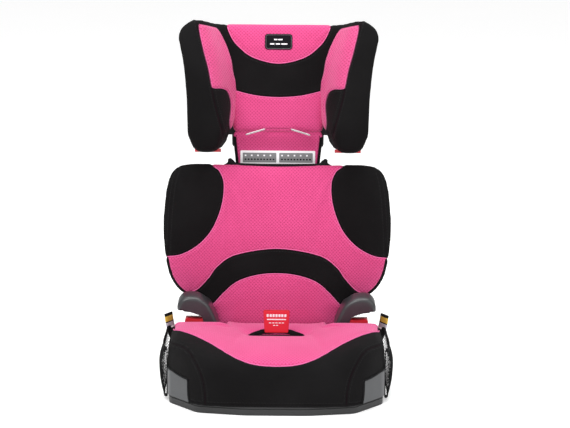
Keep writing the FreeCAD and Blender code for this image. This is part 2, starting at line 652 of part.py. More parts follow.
def head_block(inset, ends):
    """Centre pad and both wings of the headrest as one solid, drawn in by inset, and wing ends by ends."""
    sections = []
    last = len(HEAD_STATIONS) - 1
    for i, row in enumerate(HEAD_STATIONS):
        z = row[0] + (ends if i == 0 else -ends if i == last else 0)
        sizes = [between(HEAD_STATIONS, z, column) for column in (1, 2, 3, 4)]
        sections.append(wing_section(z, *sizes, inset))
    wing = skin(sections)
    half_w = 106.0 - inset
    centre = prism(
        ((-half_w, HEAD_PAD_BOTTOM + inset, 8), (half_w, HEAD_PAD_BOTTOM + inset, 8),
         (half_w + 24, HEAD_TOP - inset, 8), (-half_w - 24, HEAD_TOP - inset, 8)),
        "XZ", HEAD_FRONT_Y + inset, HEAD_BACK_Y - inset,
    )
    return centre.fuse(wing).fuse(mirrored(wing)).removeSplitter()


def wing_plate(grow):
    """Plastic blade that stiffens one wing from inside."""
    outline = ((70, 36), (108, 36), (160, -76), (166, -76), (112, 42), (70, 42))
    return prism(outline, "XY", 384 - grow, 584 + grow, grow)


def headrest_shell():
    """Rear plate of the headrest with a stiffening blade inside each wing."""
    plate = prism(((-94, 358, 8), (94, 358, 8), (98, 600, 16), (-98, 600, 16)), "XZ", HEAD_BACK_Y + 0.3, 42.9)
    blade = wing_plate(0).cut(box((-300, 300), (HEAD_BACK_Y, 100), (0, 700)))
    link = box((84, 96), (34, HEAD_BACK_Y + 2), (390, 580))
    blade = blade.fuse(link)
    return plate.fuse(blade).fuse(mirrored(blade)).removeSplitter()


def blade_room():
    """Pocket in the pad for the blade and its root."""
    room = wing_plate(0.3).fuse(box((83.7, 96.3), (33.7, HEAD_BACK_Y + 3), (389.7, 580.3)))
    return room


def headrest_foam():
    """Foam of the centre pad and the wings."""
    foam = head_block(COVER_T + 0.8, 3 * COVER_T)
    room = blade_room()
    return foam.cut(room).cut(mirrored(room))


def headrest_cover():
    """Fabric cover of the headrest."""
    cover = head_block(0, 0).cut(head_block(COVER_T, COVER_T))
    room = blade_room()
    return cover.cut(room).cut(mirrored(room))


def neck_pad():
    """Padded flap that hangs from the headrest and slides down behind the backrest pad."""
    top = HEAD_PAD_BOTTOM - 0.4
    outline = (
        (-80, NECK_BOTTOM, 8), (80, NECK_BOTTOM, 8), (84, 330, 12), (78, 356, 8), (NECK_ROOT_X, 378, 6),
        (NECK_ROOT_X, top, 1), (-NECK_ROOT_X, top, 1), (-NECK_ROOT_X, 378, 6), (-78, 356, 8), (-84, 330, 12),
    )
    flap = prism(outline, "XZ", NECK_Y[0], NECK_Y[1])
    side = ((NECK_Y[0] + 1, 348, 0), (NECK_Y[0] + 1, top, 0), (14, top, 5), (20, 374, 10))
    return fused(flap, prism(side, "YZ", -NECK_ROOT_X, NECK_ROOT_X))


def carriage():
    """Sliding plate that ties the headrest to the rails, with the latch housings on its rear."""
    side = CARRIAGE_HALF_W
    outline = ((-side, 60, 8), (side, 60, 8), (side, 352, 4), (70, 430, 10), (-70, 430, 10), (-side, 352, 4))
    plate = prism(outline, "XZ", *CARRIAGE_Y)
    for z in (90, 200, 260, 320):
        window = ((-30, z, 8), (30, z, 8), (30, z + 34, 8), (-30, z + 34, 8))
        plate = plate.cut(prism(window, "XZ", CARRIAGE_Y[0] - 1, CARRIAGE_Y[1] + 1))
    housing = box((56, 72), (CARRIAGE_Y[1] - 1, LINK_Y[0] - 0.2), (PIN_Z - 7, PIN_Z + 7))
    stop = box((-26, 26), (CARRIAGE_Y[1] - 1, LINK_Y[0] - 0.4), (PIN_Z - 6, PIN_Z + 6))
    body = fused(plate, housing, mirrored(housing), stop)
    return body.cut(rod(PIN_R + RUNNING, (-74, PIN_Y, PIN_Z), (-40, PIN_Y, PIN_Z))).cut(
        rod(PIN_R + RUNNING, (40, PIN_Y, PIN_Z), (74, PIN_Y, PIN_Z)))


def latch_pin():
    """Sliding pin that enters a detent hole of the rail; its peg follows the slanted slot of the link."""
    pin = rod(PIN_R, (40, PIN_Y, PIN_Z), (84, PIN_Y, PIN_Z))
    nose = Part.makeCone(PIN_R, PIN_R - 1, 1.6, Vec(84, PIN_Y, PIN_Z), Vec(1, 0, 0))
    peg = rod(PEG_R, (PEG_X, PIN_Y, PIN_Z), (PEG_X, LINK_Y[1] + 0.5, PIN_Z))
    return fused(pin, nose, peg)


def latch_spring():
    """Compression spring that pushes the pin outwards."""
    coil_r, wire_r, start, end = 2.4, 0.4, 26.6, 39.4
    helix = Part.makeHelix(1.8, end - start - 2 * wire_r, coil_r)
    profile = Part.Wire(Part.makeCircle(wire_r, Vec(coil_r, 0, 0), Vec(0, 1, 0)))
    spring = Part.Wire(helix).makePipeShell([profile], True, True)
    turn = FreeCAD.Rotation(Vec(0, 1, 0), 90)
    return spring.transformed(FreeCAD.Placement(Vec(start + wire_r, PIN_Y, PIN_Z), turn).toMatrix(), True)


def release_link():
    """Flat pull rod with a cam plate at its foot whose slanted slots draw the pins in."""
    strip = box((-9, 9), LINK_Y, (PIN_Z + 10, 560))
    cam = prism(((-52, 134, 4), (52, 134, 4), (52, 164, 4), (-52, 164, 4)), "XZ", *LINK_Y)
    link = fused(cam, strip)
    half = PEG_R + 0.3
    run = math.hypot(PIN_TRAVEL, HANDLE_TRAVEL)
    ends = [rod(half, (0, 50, z), (0, 60, z)) for z in (0, -run)]
    slot = fused(box((-half, half), (50, 60), (-run, 0)), *ends)
    angle = math.degrees(math.atan2(PIN_TRAVEL, HANDLE_TRAVEL))
    slot.rotate(Vec(0, 0, 0), Vec(0, 1, 0), angle)
    slot.translate(Vec(PEG_X, 0, PIN_Z))
    return link.cut(slot).cut(mirrored(slot))


def release_handle():
    """Squeeze handle at the top rear of the headrest."""
    root = box((-16, 16), (LINK_Y[0] - 3.2, LINK_Y[0] - 0.1), (545, 566))
    neck = box((-14, 14), (LINK_Y[0] - 3.2, 66), (562, 570))
    grip = prism(((60, 560, 4), (72, 560, 5), (72, 578, 5), (60, 574, 4)), "YZ", -34, 34)
    return fused(root, neck, grip)


def headrest_rear_cover():
    """Housing over the adjuster on the back of the headrest, with a window for the handle."""
    low, high = 372.0, 602.0
    outline = ((-78, low, 12), (78, low, 12), (88, high, 16), (-88, high, 16))
    case = prism(outline, "XZ", 46.4, 62)
    case = case.cut(prism(outline, "XZ", 40, 59.5, -2.5))
    window = prism(((-37, 553, 3), (37, 553, 3), (37, 590, 3), (-37, 590, 3)), "XZ", 55, 70)
    case = case.cut(window)
    case = case.cut(box((-11, 11), (46, 58), (low - 1, low + 6)))
    for z in (400, 430, 460, 490):
        groove = prism(((-52, z, 3), (52, z, 3), (52, z + 8, 3), (-52, z + 8, 3)), "XZ", 61, 63)
        case = case.cut(groove)
    return case


def shoulder_guide():
    """Red hook under the wing for the shoulder belt; its mouth is closed by a gate."""
    outline = (
        (118, 38, 4), (116, 6, 8), (124, -22, 8), (148, -34, 8), (168, -30, 6), (169, -10, 0), (126, -10, 3),
        (126, -1, 3), (169, -1, 0), (169, 16, 6), (150, 24, 8), (136, 38, 4),
    )
    plate = prism(outline, "XY", 348, HEAD_WING_BOTTOM - 1)
    sweep = prism(((156, 16, 2), (138, -11, 2), (174, -11, 0), (170, 16, 2)), "XY", 350, 370)
    return plate.cut(sweep).cut(rod(1.5, (162.5, 10, 340), (162.5, 10, 360)))


def guide_gate():
    """Sprung gate across the mouth of the shoulder hook."""
    outline = ((160, -10, 2), (165, -10, 2), (166, 13.5, 2.4), (159, 13.5, 2.4))
    bar = prism(outline, "XY", 350.2, HEAD_WING_BOTTOM - 1)
    return bar.cut(rod(1.5 + RUNNING, (162.5, 10, 340), (162.5, 10, 360)))


def gate_pin():
    """Pivot pin of the gate."""
    return rod(1.5, (162.5, 10, 348), (162.5, 10, HEAD_WING_BOTTOM - 1.2))


def label_patch():
    """Blank woven patch at the top of the headrest."""
    outline = ((-28, 560, 4), (28, 560, 4), (28, 592, 4), (-28, 592, 4))
    return prism(outline, "XZ", HEAD_FRONT_Y - 1.0, HEAD_FRONT_Y - 0.2)


def size_label():
    """Printed height-guide label at the foot of the neck pad."""
    outline = ((-75, 328, 2), (75, 328, 2), (75, 346, 2), (-75, 346, 2))
    return prism(outline, "XZ", NECK_Y[0] - 1.0, NECK_Y[0] - 0.2)


def slot_trims():
    """White edge trims of the two slanted slots above the neck."""
    bars = []
    for sign in (-1, 1):
        bar = box((-20, 20), (HEAD_FRONT_Y - 1.6, HEAD_FRONT_Y - 0.2), (-1.5, 1.5))
        bar.rotate(Vec(0, 0, 0), Vec(0, 1, 0), 12 * sign)
        bar.translate(Vec(45 * sign, 0, HEAD_PAD_BOTTOM + 8))
        bars.append(bar)
    return Part.makeCompound(bars)


# ---- Fasteners and small repeated parts ----------------------------------------------------------
def rubber_feet():
    """Anti-slip pads under the tray."""
    return Part.makeCompound([rod(14, (x, y, TRAY_Z), (x, y, TRAY_Z + FOOT_T)) for x, y in FOOT_PLACES])


def base_screws():
    """Screws that close the tray."""
    places = [(x, y, TRAY_Z + HEAD_SINK) for x, y in DECK_SCREWS]
    return Part.makeCompound([screw(3.6, 1.9, 24, place, (0, 0, 1)) for place in places])


def armrest_screws():
    """Screws from under the deck into the belt horns."""
    places = [(x, y, DECK_Z - WALL) for x in (-120, 120) for y in HORN_SCREW_Y]
    return Part.makeCompound([screw(4.0, 2.0, 17, p, (0, 0, 1)) for p in places])


def rear_cover_screws():
    """Screws through the rear panel into the channel posts."""
    face = CHANNEL_Y[1] + REAR_T
    return Part.makeCompound([screw(3.2, 1.6, 14, (x, face, z), (0, -1, 0)) for x, z in REAR_SCREWS])


def hinge_rod():
    """Steel rod on which the backrest turns."""
    return rod(ROD_R, (-128, HINGE_Y, HINGE_Z), (128, HINGE_Y, HINGE_Z))


def hinge_clips():
    """Push-on clips that keep the rod in the ears."""
    clip = rod(8, (124.2, HINGE_Y, HINGE_Z), (125.6, HINGE_Y, HINGE_Z))
    return both(clip.cut(rod(ROD_R, (124, HINGE_Y, HINGE_Z), (126, HINGE_Y, HINGE_Z))))


def clip_anchor_bar():
    """Steel bar under the seat that holds the crotch strap."""
    return rod(3, (-61, 0, 52), (61, 0, 52))


# ---- Assembly ------------------------------------------------------------------------------------
SINGLE = (
    base_shell, base_tray, rubber_feet, base_screws, seat_foam, seat_cover, clip_bezel, clip_anchor_bar,
    clip_anchor_strap, armrest_screws, hinge_rod, hinge_clips, clip_strap, belt_clip,
)
PAIRED = (corner_trim, armrest, lap_belt_guide, side_pocket, pocket_hem, anchor_strap, hinge_hook)
LEANING = (
    backrest_foam, backrest_cover, backrest_shell, rear_cover, rear_cover_screws, tether_anchor,
    tether_strap, tether_adjuster, tether_hook, headrest_shell, headrest_foam, headrest_cover, neck_pad,
    carriage, release_link, release_handle, headrest_rear_cover, label_patch, size_label, slot_trims,
)
LEANING_PAIRED = (guide_rail, latch_pin, latch_spring, shoulder_guide, guide_gate, gate_pin)


def assembly():
    """Every node by its builder's name, in the world frame; left is +X."""
    nodes = {make.__name__: make() for make in SINGLE}
    nodes.update({make.__name__: lean(make()) for make in LEANING})
    pairs = {make.__name__: make() for make in PAIRED}
    pairs.update({make.__name__: lean(make()) for make in LEANING_PAIRED})
    for name, shape in pairs.items():
        nodes[name + "_left"], nodes[name + "_right"] = shape, mirrored(shape)
    return nodes


os.makedirs("parts", exist_ok=True)
for name, shape in assembly().items():
    shape.exportStep("parts/" + name + ".step")
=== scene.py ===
"""High-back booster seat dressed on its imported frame: pink and black covers, belt horns, net pockets, webbing
and labels.

Lengths are millimetres until new_mesh() turns them into metres.  Pieces on the backrest and the headrest are
drawn in the back frame: x across, y to the rear, z up along the leaning backrest.
"""
import math

import bmesh
import bpy
import numpy as np
from mathutils import Matrix, Vector
from mathutils.bvhtree import BVHTree


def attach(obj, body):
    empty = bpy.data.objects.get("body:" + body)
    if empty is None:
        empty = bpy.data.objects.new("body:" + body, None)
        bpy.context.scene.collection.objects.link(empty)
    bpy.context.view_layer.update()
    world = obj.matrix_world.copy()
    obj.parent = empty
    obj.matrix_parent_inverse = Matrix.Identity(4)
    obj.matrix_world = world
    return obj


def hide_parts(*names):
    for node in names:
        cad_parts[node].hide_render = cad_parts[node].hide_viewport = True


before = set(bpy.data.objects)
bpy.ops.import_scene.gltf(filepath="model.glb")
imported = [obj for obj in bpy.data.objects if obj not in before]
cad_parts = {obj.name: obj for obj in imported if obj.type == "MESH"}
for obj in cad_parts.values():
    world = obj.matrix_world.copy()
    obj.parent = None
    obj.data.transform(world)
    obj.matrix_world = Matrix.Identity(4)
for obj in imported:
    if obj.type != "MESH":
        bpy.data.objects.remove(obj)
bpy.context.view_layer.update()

MM = 0.001
FAR = 1e9
NEVER_ZERO = 1e-9
RAY_START = 220.0

# ---- The back frame ----
LEAN = math.radians(10)
BACK_ORIGIN = np.array((0.0, 118.0, 94.0))
ACROSS = np.array((1.0, 0.0, 0.0))
REAR = np.array((0.0, math.cos(LEAN), -math.sin(LEAN)))
UP = np.array((0.0, math.sin(LEAN), math.cos(LEAN)))
BACK_AXES = np.array((ACROSS, REAR, UP))
MIRROR = np.array((-1.0, 1.0, 1.0))


def leaning(points):
    """Back frame to world."""
    return BACK_ORIGIN + np.asarray(points, float) @ BACK_AXES


def upright(points):
    """World to back frame."""
    return (np.asarray(points, float) - BACK_ORIGIN) @ BACK_AXES.T


# ---- Shape tools ----
def ease(value):
    """Smooth step from 0 to 1."""
    value = np.clip(value, 0.0, 1.0)
    return value * value * (3 - 2 * value)


def smooth_path(points, count, closed=False):
    """Even samples of a Catmull-Rom curve through the points."""
    points = np.asarray(points, float)
    if closed:
        padded = np.vstack((points[-1], points, points[0], points[1]))
    else:
        padded = np.vstack((2 * points[0] - points[1], points, 2 * points[-1] - points[-2]))
    fine = []
    for a, b, c, d in zip(padded, padded[1:], padded[2:], padded[3:]):
        for t in np.linspace(0, 1, 24, endpoint=False):
            fine.append(0.5 * (2 * b + (c - a) * t + (2 * a - 5 * b + 4 * c - d) * t ** 2
                               + (3 * b - a - 3 * c + d) * t ** 3))
    fine.append(points[0] if closed else points[-1])
    fine = np.array(fine)
    run = np.concatenate(([0], np.cumsum(np.linalg.norm(np.diff(fine, axis=0), axis=1))))
    wanted = np.linspace(0, run[-1], count, endpoint=not closed)
    return np.stack([np.interp(wanted, run, fine[:, k]) for k in range(points.shape[1])], axis=1)


def symmetric(half):
    """Closed outline from its +x half, listed from one end of the middle line round to the other."""
    left = [(-x, z) for x, z in reversed(half) if x > 0]
    return list(half) + left


def mirror_line(half):
    """Open line from its +x half, listed outside in and ending at the middle."""
    return [(-x, z) for x, z in half] + [(x, z) for x, z in reversed(half) if x > 0]


def line_distance(points, line):
    """Distance of each 2-D point from an open line."""
    nearest = np.full(len(points), FAR)
    for start, end in zip(line[:-1], line[1:]):
        step = end - start
        along = np.clip(((points - start) @ step) / max(step @ step, NEVER_ZERO), 0, 1)
        nearest = np.minimum(nearest, np.linalg.norm(points - start - along[:, None] * step, axis=1))
    return nearest


def region_distance(points, outline):
    """Distance from a closed 2-D outline, positive inside."""
    closed = np.vstack((outline, outline[:1]))
    inside = np.zeros(len(points), bool)
    for (x0, z0), (x1, z1) in zip(closed[:-1], closed[1:]):
        if z0 == z1:
            continue
        crosses = (points[:, 1] > z0) != (points[:, 1] > z1)
        inside ^= crosses & (points[:, 0] < x0 + (points[:, 1] - z0) * (x1 - x0) / (z1 - z0))
    return np.where(inside, 1.0, -1.0) * line_distance(points, closed)


def inward(loop):
    """Unit inward normals of a closed 2-D loop, whichever way it runs."""
    tangent = np.roll(loop, -1, axis=0) - np.roll(loop, 1, axis=0)
    tangent /= np.maximum(np.linalg.norm(tangent, axis=1), NEVER_ZERO)[:, None]
    area = np.sum(loop[:, 0] * np.roll(loop[:, 1], -1) - np.roll(loop[:, 0], -1) * loop[:, 1])
    side = np.column_stack((-tangent[:, 1], tangent[:, 0]))
    return side if area > 0 else -side


# ---- Mesh tools ----
def in_scene(name, data):
    """Object that shows a mesh, light or camera."""
    thing = bpy.data.objects.new(name, data)
    bpy.context.scene.collection.objects.link(thing)
    return thing


def new_mesh(name, points, faces, material=None):
    """Smooth mesh object from world points in millimetres."""
    mesh = bpy.data.meshes.new(name)
    mesh.from_pydata((np.asarray(points) * MM).tolist(), [], faces)
    mesh.update()
    mesh.polygons.foreach_set("use_smooth", [True] * len(mesh.polygons))
    piece = in_scene(name, mesh)
    if material:
        mesh.materials.append(material)
    return piece


def triples(items, key):
    """A 3-D property of many items as an array."""
    flat = np.empty(len(items) * 3)
    items.foreach_get(key, flat)
    return flat.reshape(-1, 3)


def coordinates(piece):
    """World points of a piece in millimetres."""
    return triples(piece.data.vertices, "co") / MM


def set_coordinates(piece, points):
    """Puts new world points, in millimetres, into a piece."""
    piece.data.vertices.foreach_set("co", (np.asarray(points) * MM).ravel())
    piece.data.update()


def normals(piece):
    """Vertex normals."""
    return triples(piece.data.vertex_normals, "vector")


def outward(piece):
    """Makes all faces point out."""
    work = bmesh.new()
    work.from_mesh(piece.data)
    bmesh.ops.recalc_face_normals(work, faces=work.faces)
    work.to_mesh(piece.data)
    work.free()
    return piece


def apply_modifiers(piece):
    """Bakes a piece's modifiers into its mesh."""
    graph = bpy.context.evaluated_depsgraph_get()
    done = bpy.data.meshes.new_from_object(piece.evaluated_get(graph))
    piece.modifiers.clear()
    piece.data = done
    return piece


def joined_rings(rings, caps=True):
    """Faces between closed rings of equal length, with fans over both ends."""
    count = len(rings[0])
    points = np.vstack(rings)
    faces = []
    for r in range(len(rings) - 1):
        for i in range(count):
            j = (i + 1) % count
            faces.append((r * count + i, r * count + j, (r + 1) * count + j, (r + 1) * count + i))
    if caps:
        for ring, turn in ((0, 1), (len(rings) - 1, -1)):
            hub = len(points)
            points = np.vstack((points, rings[ring].mean(axis=0)))
            for i in range(count):
                pair = (ring * count + (i + 1) % count, ring * count + i)[::turn]
                faces.append((hub, *pair))
    return points, faces


def ring_solid(name, rings, material=None):
    """Closed piece through rings of world points."""
    points, faces = joined_rings(rings)
    return outward(new_mesh(name, points, faces, material))


def sweep(name, path, profile, material, closed=False, hint=(0, 1, 0)):
    """Profile carried along a path; the profile's second axis stays near the hint."""
    path = np.asarray(path, float)
    rings = []
    for i, place in enumerate(path):
        if closed:
            ahead, behind = path[(i + 1) % len(path)], path[i - 1]
        else:
            ahead, behind = path[min(i + 1, len(path) - 1)], path[max(i - 1, 0)]
        tangent = (ahead - behind) / max(np.linalg.norm(ahead - behind), NEVER_ZERO)
        side_hint = np.asarray(hint[i] if np.ndim(hint) == 2 else hint, float)
        across = np.cross(side_hint, tangent)
        across /= max(np.linalg.norm(across), NEVER_ZERO)
        lift = np.cross(tangent, across)
        rings.append(place + np.outer(profile[:, 0], across) + np.outer(profile[:, 1], lift))
    if closed:
        total = len(rings) * len(profile)
        points, faces = joined_rings(rings + rings[:1], caps=False)
        points = points[:total]
        faces = [tuple(corner % total for corner in face) for face in faces]
    else:
        points, faces = joined_rings(rings)
    return outward(new_mesh(name, points, faces, material))


def circle(radius, count):
    """Round profile."""
    turn = np.linspace(0, 2 * math.pi, count, endpoint=False)
    return np.column_stack((np.cos(turn), np.sin(turn))) * radius


def band(width, thickness):
    """Flat webbing profile with softly rounded edges."""
    half, thin = width / 2, thickness / 2
    rim = thin * 0.7
    under = [
        (-half, -thin * 0.3), (-half + rim, -thin), (-half / 3, -thin), (half / 3, -thin),
        (half - rim, -thin), (half, -thin * 0.3),
    ]
    return np.array(under + [(x, -z) for x, z in reversed(under)])


def slab(name, outline, low, high, place, material, bevel, rough=False):
    """Flat piece with rounded edges from a 2-D outline, smoothed unless rough, put in the world by place()."""
    loop = np.asarray(outline, float) if rough else smooth_path(outline, 120, closed=True)
    facing = inward(loop)
    middle = loop.mean(axis=0)
    turn = np.linspace(0, math.pi / 2, 5)
    near = [(bevel * (1 - math.cos(a)), bevel * (1 - math.sin(a))) for a in turn]
    rings = []
    for inset, drop in reversed(near):
        rings.append((loop + facing * inset, low + drop))
    for inset, drop in near:
        rings.append((loop + facing * inset, high - drop))
    inner = loop + facing * bevel
    for share in (0.2, 0.45, 0.7, 0.9):
        rings.append((inner + (middle - inner) * share, high))
    placed = [place(flat[:, 0], flat[:, 1], np.full(len(flat), depth)) for flat, depth in rings]
    return ring_solid(name, placed, material)


def on_back(a, b, depth):
    """Drawing plane of the backrest: a across, b up, depth to the rear."""
    return leaning(np.column_stack((a, depth, b)))


def rounded_box(width, height, radius, steps=6):
    """Outline of a rectangle with round corners, centred on zero."""
    points = []
    for cx, cy, start in ((1, 1, 0), (-1, 1, 90), (-1, -1, 180), (1, -1, 270)):
        for angle in np.linspace(start, start + 90, steps):
            points.append((cx * (width / 2 - radius) + radius * math.cos(math.radians(angle)),
                           cy * (height / 2 - radius) + radius * math.sin(math.radians(angle))))
    return np.array(points)


def mirrored(piece, name):
    """Copy of a piece on the other side of the seat."""
    points = coordinates(piece) * MIRROR
    faces = [tuple(reversed(face.vertices)) for face in piece.data.polygons]
    twin = new_mesh(name, points, faces)
    for material in piece.data.materials:
        twin.data.materials.append(material)
    return twin


def changed(piece, kind, **settings):
    """Bakes one modifier into a piece's mesh."""
    change = piece.modifiers.new(kind, kind)
    for key, value in settings.items():
        setattr(change, key, value)
    return apply_modifiers(piece)


def resurfaced(piece, voxel):
    """Even quads over a closed piece."""
    return changed(piece, "REMESH", mode="VOXEL", voxel_size=voxel * MM, use_smooth_shade=True)


def relaxed(piece, rounds):
    """Irons out small unevenness."""
    return changed(piece, "SMOOTH", factor=0.5, iterations=rounds)


def refined(piece):
    """Subdivides a piece smoothly, once."""
    return changed(piece, "SUBSURF", levels=1)


CLOTH_RULES = {
    "quality": 6, "mass": 0.25, "tension_stiffness": 12, "compression_stiffness": 12, "shear_stiffness": 6,
    "bending_stiffness": 0.6, "use_pressure": True, "uniform_pressure_force": 4.0,
    "vertex_group_mass": "held", "pin_stiffness": 4,
}
CLOTH_FRAMES = 18


def puffed(piece, held, travel):
    """Blows a cover up like stuffed cloth between the seams that hold it; no point moves more than travel."""
    before = coordinates(piece)
    group = piece.vertex_groups.new(name="held")
    for weight in (0.25, 0.5, 0.75, 1.0):
        chosen = np.nonzero(np.round(held * 4) / 4 == weight)[0].tolist()
        if chosen:
            group.add(chosen, weight, "REPLACE")
    rules = piece.modifiers.new("Cloth", "CLOTH").settings
    for key, value in CLOTH_RULES.items():
        setattr(rules, key, value)
    rules.effector_weights.gravity = 0
    scene = bpy.context.scene
    for number in range(1, CLOTH_FRAMES + 1):
        scene.frame_set(number)
    shown = piece.evaluated_get(bpy.context.evaluated_depsgraph_get())
    after = coordinates(shown)
    piece.modifiers.clear()
    piece.vertex_groups.clear()
    scene.frame_set(1)
    move = after - before
    length = np.maximum(np.linalg.norm(move, axis=1), NEVER_ZERO)
    limited = travel * np.tanh(length / travel)
    set_coordinates(piece, before + move * (limited / length)[:, None])


def set_field(piece, name, values):
    """Stores one number per vertex for the shaders."""
    field = piece.data.attributes.get(name) or piece.data.attributes.new(name, "FLOAT", "POINT")
    field.data.foreach_set("value", np.asarray(values, float))


def set_weave(piece, flat):
    """Lays the fabric's own coordinates, in millimetres, over a piece."""
    layer = piece.data.uv_layers.get("weave") or piece.data.uv_layers.new(name="weave")
    corner = np.empty(len(piece.data.loops), int)
    piece.data.loops.foreach_get("vertex_index", corner)
    layer.data.foreach_set("uv", np.asarray(flat)[corner].ravel())


def surface_of(piece):
    """Ray caster over a finished piece."""
    points = coordinates(piece)
    faces = [tuple(face.vertices) for face in piece.data.polygons]
    return BVHTree.FromPolygons([Vector(p) for p in points], faces)


def draped(tree, starts, direction, lift):
    """Where rays from the starts meet a surface, raised by lift along its normal."""
    hits = []
    aim = Vector(direction).normalized()
    for start in starts:
        place, normal, _, _ = tree.ray_cast(Vector(start), aim)
        if place is not None:
            hits.append(np.array(place) + np.array(normal) * lift)
    return np.array(hits)


def snapped(tree, curve):
    """Curve moved to the nearest points of a surface."""
    return np.array([tuple(tree.find_nearest(Vector(spot))[0]) for spot in curve])


def settle(piece, body, slot=None, *stands_for):
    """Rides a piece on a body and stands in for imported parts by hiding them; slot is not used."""
    if stands_for:
        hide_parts(*stands_for)
    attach(piece, body)


# ---- Materials ----
def darker(color, share):
    """Colour dimmed to a share of itself."""
    return tuple(part * share for part in color)


class Shader:
    """A node material built in a few readable steps."""

    def __init__(self, name):
        self.material = bpy.data.materials.new(name)
        self.material.use_nodes = True
        self.nodes = self.material.node_tree.nodes
        self.links = self.material.node_tree.links
        self.surface = self.nodes["Principled BSDF"]

    def put(self, socket, value):
        """Links a socket or sets its default."""
        if isinstance(value, bpy.types.NodeSocket):
            self.links.new(value, socket)
        elif isinstance(value, tuple) and len(value) == 3 and socket.type == "RGBA":
            socket.default_value = (*value, 1.0)
        else:
            socket.default_value = value

    def node(self, kind, **settings):
        """New node with its properties set."""
        made = self.nodes.new(kind)
        for key, value in settings.items():
            setattr(made, key, value)
        return made

    def maths(self, operation, a, b=0.0):
        """Arithmetic on one or two values."""
        return self.fed("ShaderNodeMath", {0: a, 1: b}, operation=operation)

    def times(self, a, b):
        """Product."""
        return self.maths("MULTIPLY", a, b)

    def plus(self, a, b):
        """Sum."""
        return self.maths("ADD", a, b)

    def blend(self, share, low, high):
        """Mix of two colours."""
        return self.fed("ShaderNodeMix", {"Factor": share, 6: low, 7: high}, 2, data_type="RGBA")

    def step(self, value, low, high, out_low=0.0, out_high=1.0):
        """Smooth rise of a value between two limits."""
        inputs = dict(enumerate((value, low, high, out_low, out_high)))
        return self.fed("ShaderNodeMapRange", inputs, interpolation_type="SMOOTHSTEP")

    def fed(self, kind, inputs, output=0, **settings):
        """Output of a new node whose inputs are filled in."""
        made = self.node(kind, **settings)
        for key, value in inputs.items():
            self.put(made.inputs[key], value)
        return made.outputs[output]

    def place(self, stretch=(1, 1, 1), turn=0.0):
        """Object coordinates in metres, stretched and turned about Y."""
        source = self.node("ShaderNodeTexCoord").outputs["Object"]
        return self.fed("ShaderNodeMapping", {"Vector": source, "Scale": stretch, "Rotation": (0, turn, 0)})

    def weave(self, scale=1.0, turn=0.0):
        """The fabric's own coordinates, in millimetres times scale."""
        source = self.node("ShaderNodeUVMap", uv_map="weave").outputs[0]
        inputs = {"Vector": source, "Scale": (scale,) * 3, "Rotation": (0, 0, turn)}
        return self.fed("ShaderNodeMapping", inputs)

    def field(self, name):
        """A number stored on the mesh."""
        return self.node("ShaderNodeAttribute", attribute_name=name).outputs["Fac"]

    def noise(self, vector, scale, detail=3.0, roughness=0.5):
        """Cloudy noise from 0 to 1."""
        inputs = {"Vector": vector, "Scale": scale, "Detail": detail, "Roughness": roughness}
        return self.fed("ShaderNodeTexNoise", inputs, "Fac")

    def cells(self, vector, scale, randomness=0.0):
        """Distance from the nearest dot of a lattice."""
        inputs = {"Vector": vector, "Scale": scale, "Randomness": randomness}
        return self.fed("ShaderNodeTexVoronoi", inputs, "Distance")

    def waves(self, vector, scale, direction="X", distortion=0.0):
        """Parallel ribs from 0 to 1."""
        inputs = {"Vector": vector, "Scale": scale, "Distortion": distortion}
        return self.fed("ShaderNodeTexWave", inputs, "Fac", bands_direction=direction)

    def bump(self, height, strength, distance, under=None):
        """Surface relief; distance in metres."""
        inputs = {"Height": height, "Strength": strength, "Distance": distance}
        if under:
            inputs["Normal"] = under
        return self.fed("ShaderNodeBump", inputs)

    def finish(self, color, roughness, normal=None, metallic=0.0, specular=0.5, **others):
        """Wires the surface up and returns the material; others are sockets with _ for a space."""
        inputs = {key.replace("_", " "): value for key, value in others.items()}
        inputs |= {"Base Color": color, "Roughness": roughness, "Metallic": metallic}
        inputs["Specular IOR Level"] = specular
        if normal:
            inputs["Normal"] = normal
        for key, value in inputs.items():
            self.put(self.surface.inputs[key], value)
        return self.material


PINK = (0.56, 0.053, 0.188)
PINK_LIGHT = (0.72, 0.150, 0.34)
PINK_DEEP = (0.33, 0.010, 0.070)
BLACK_CLOTH = (0.0034, 0.0031, 0.0033)
DIMPLE_PITCH = 5.0
STITCH_FROM_SEAM = 5.0


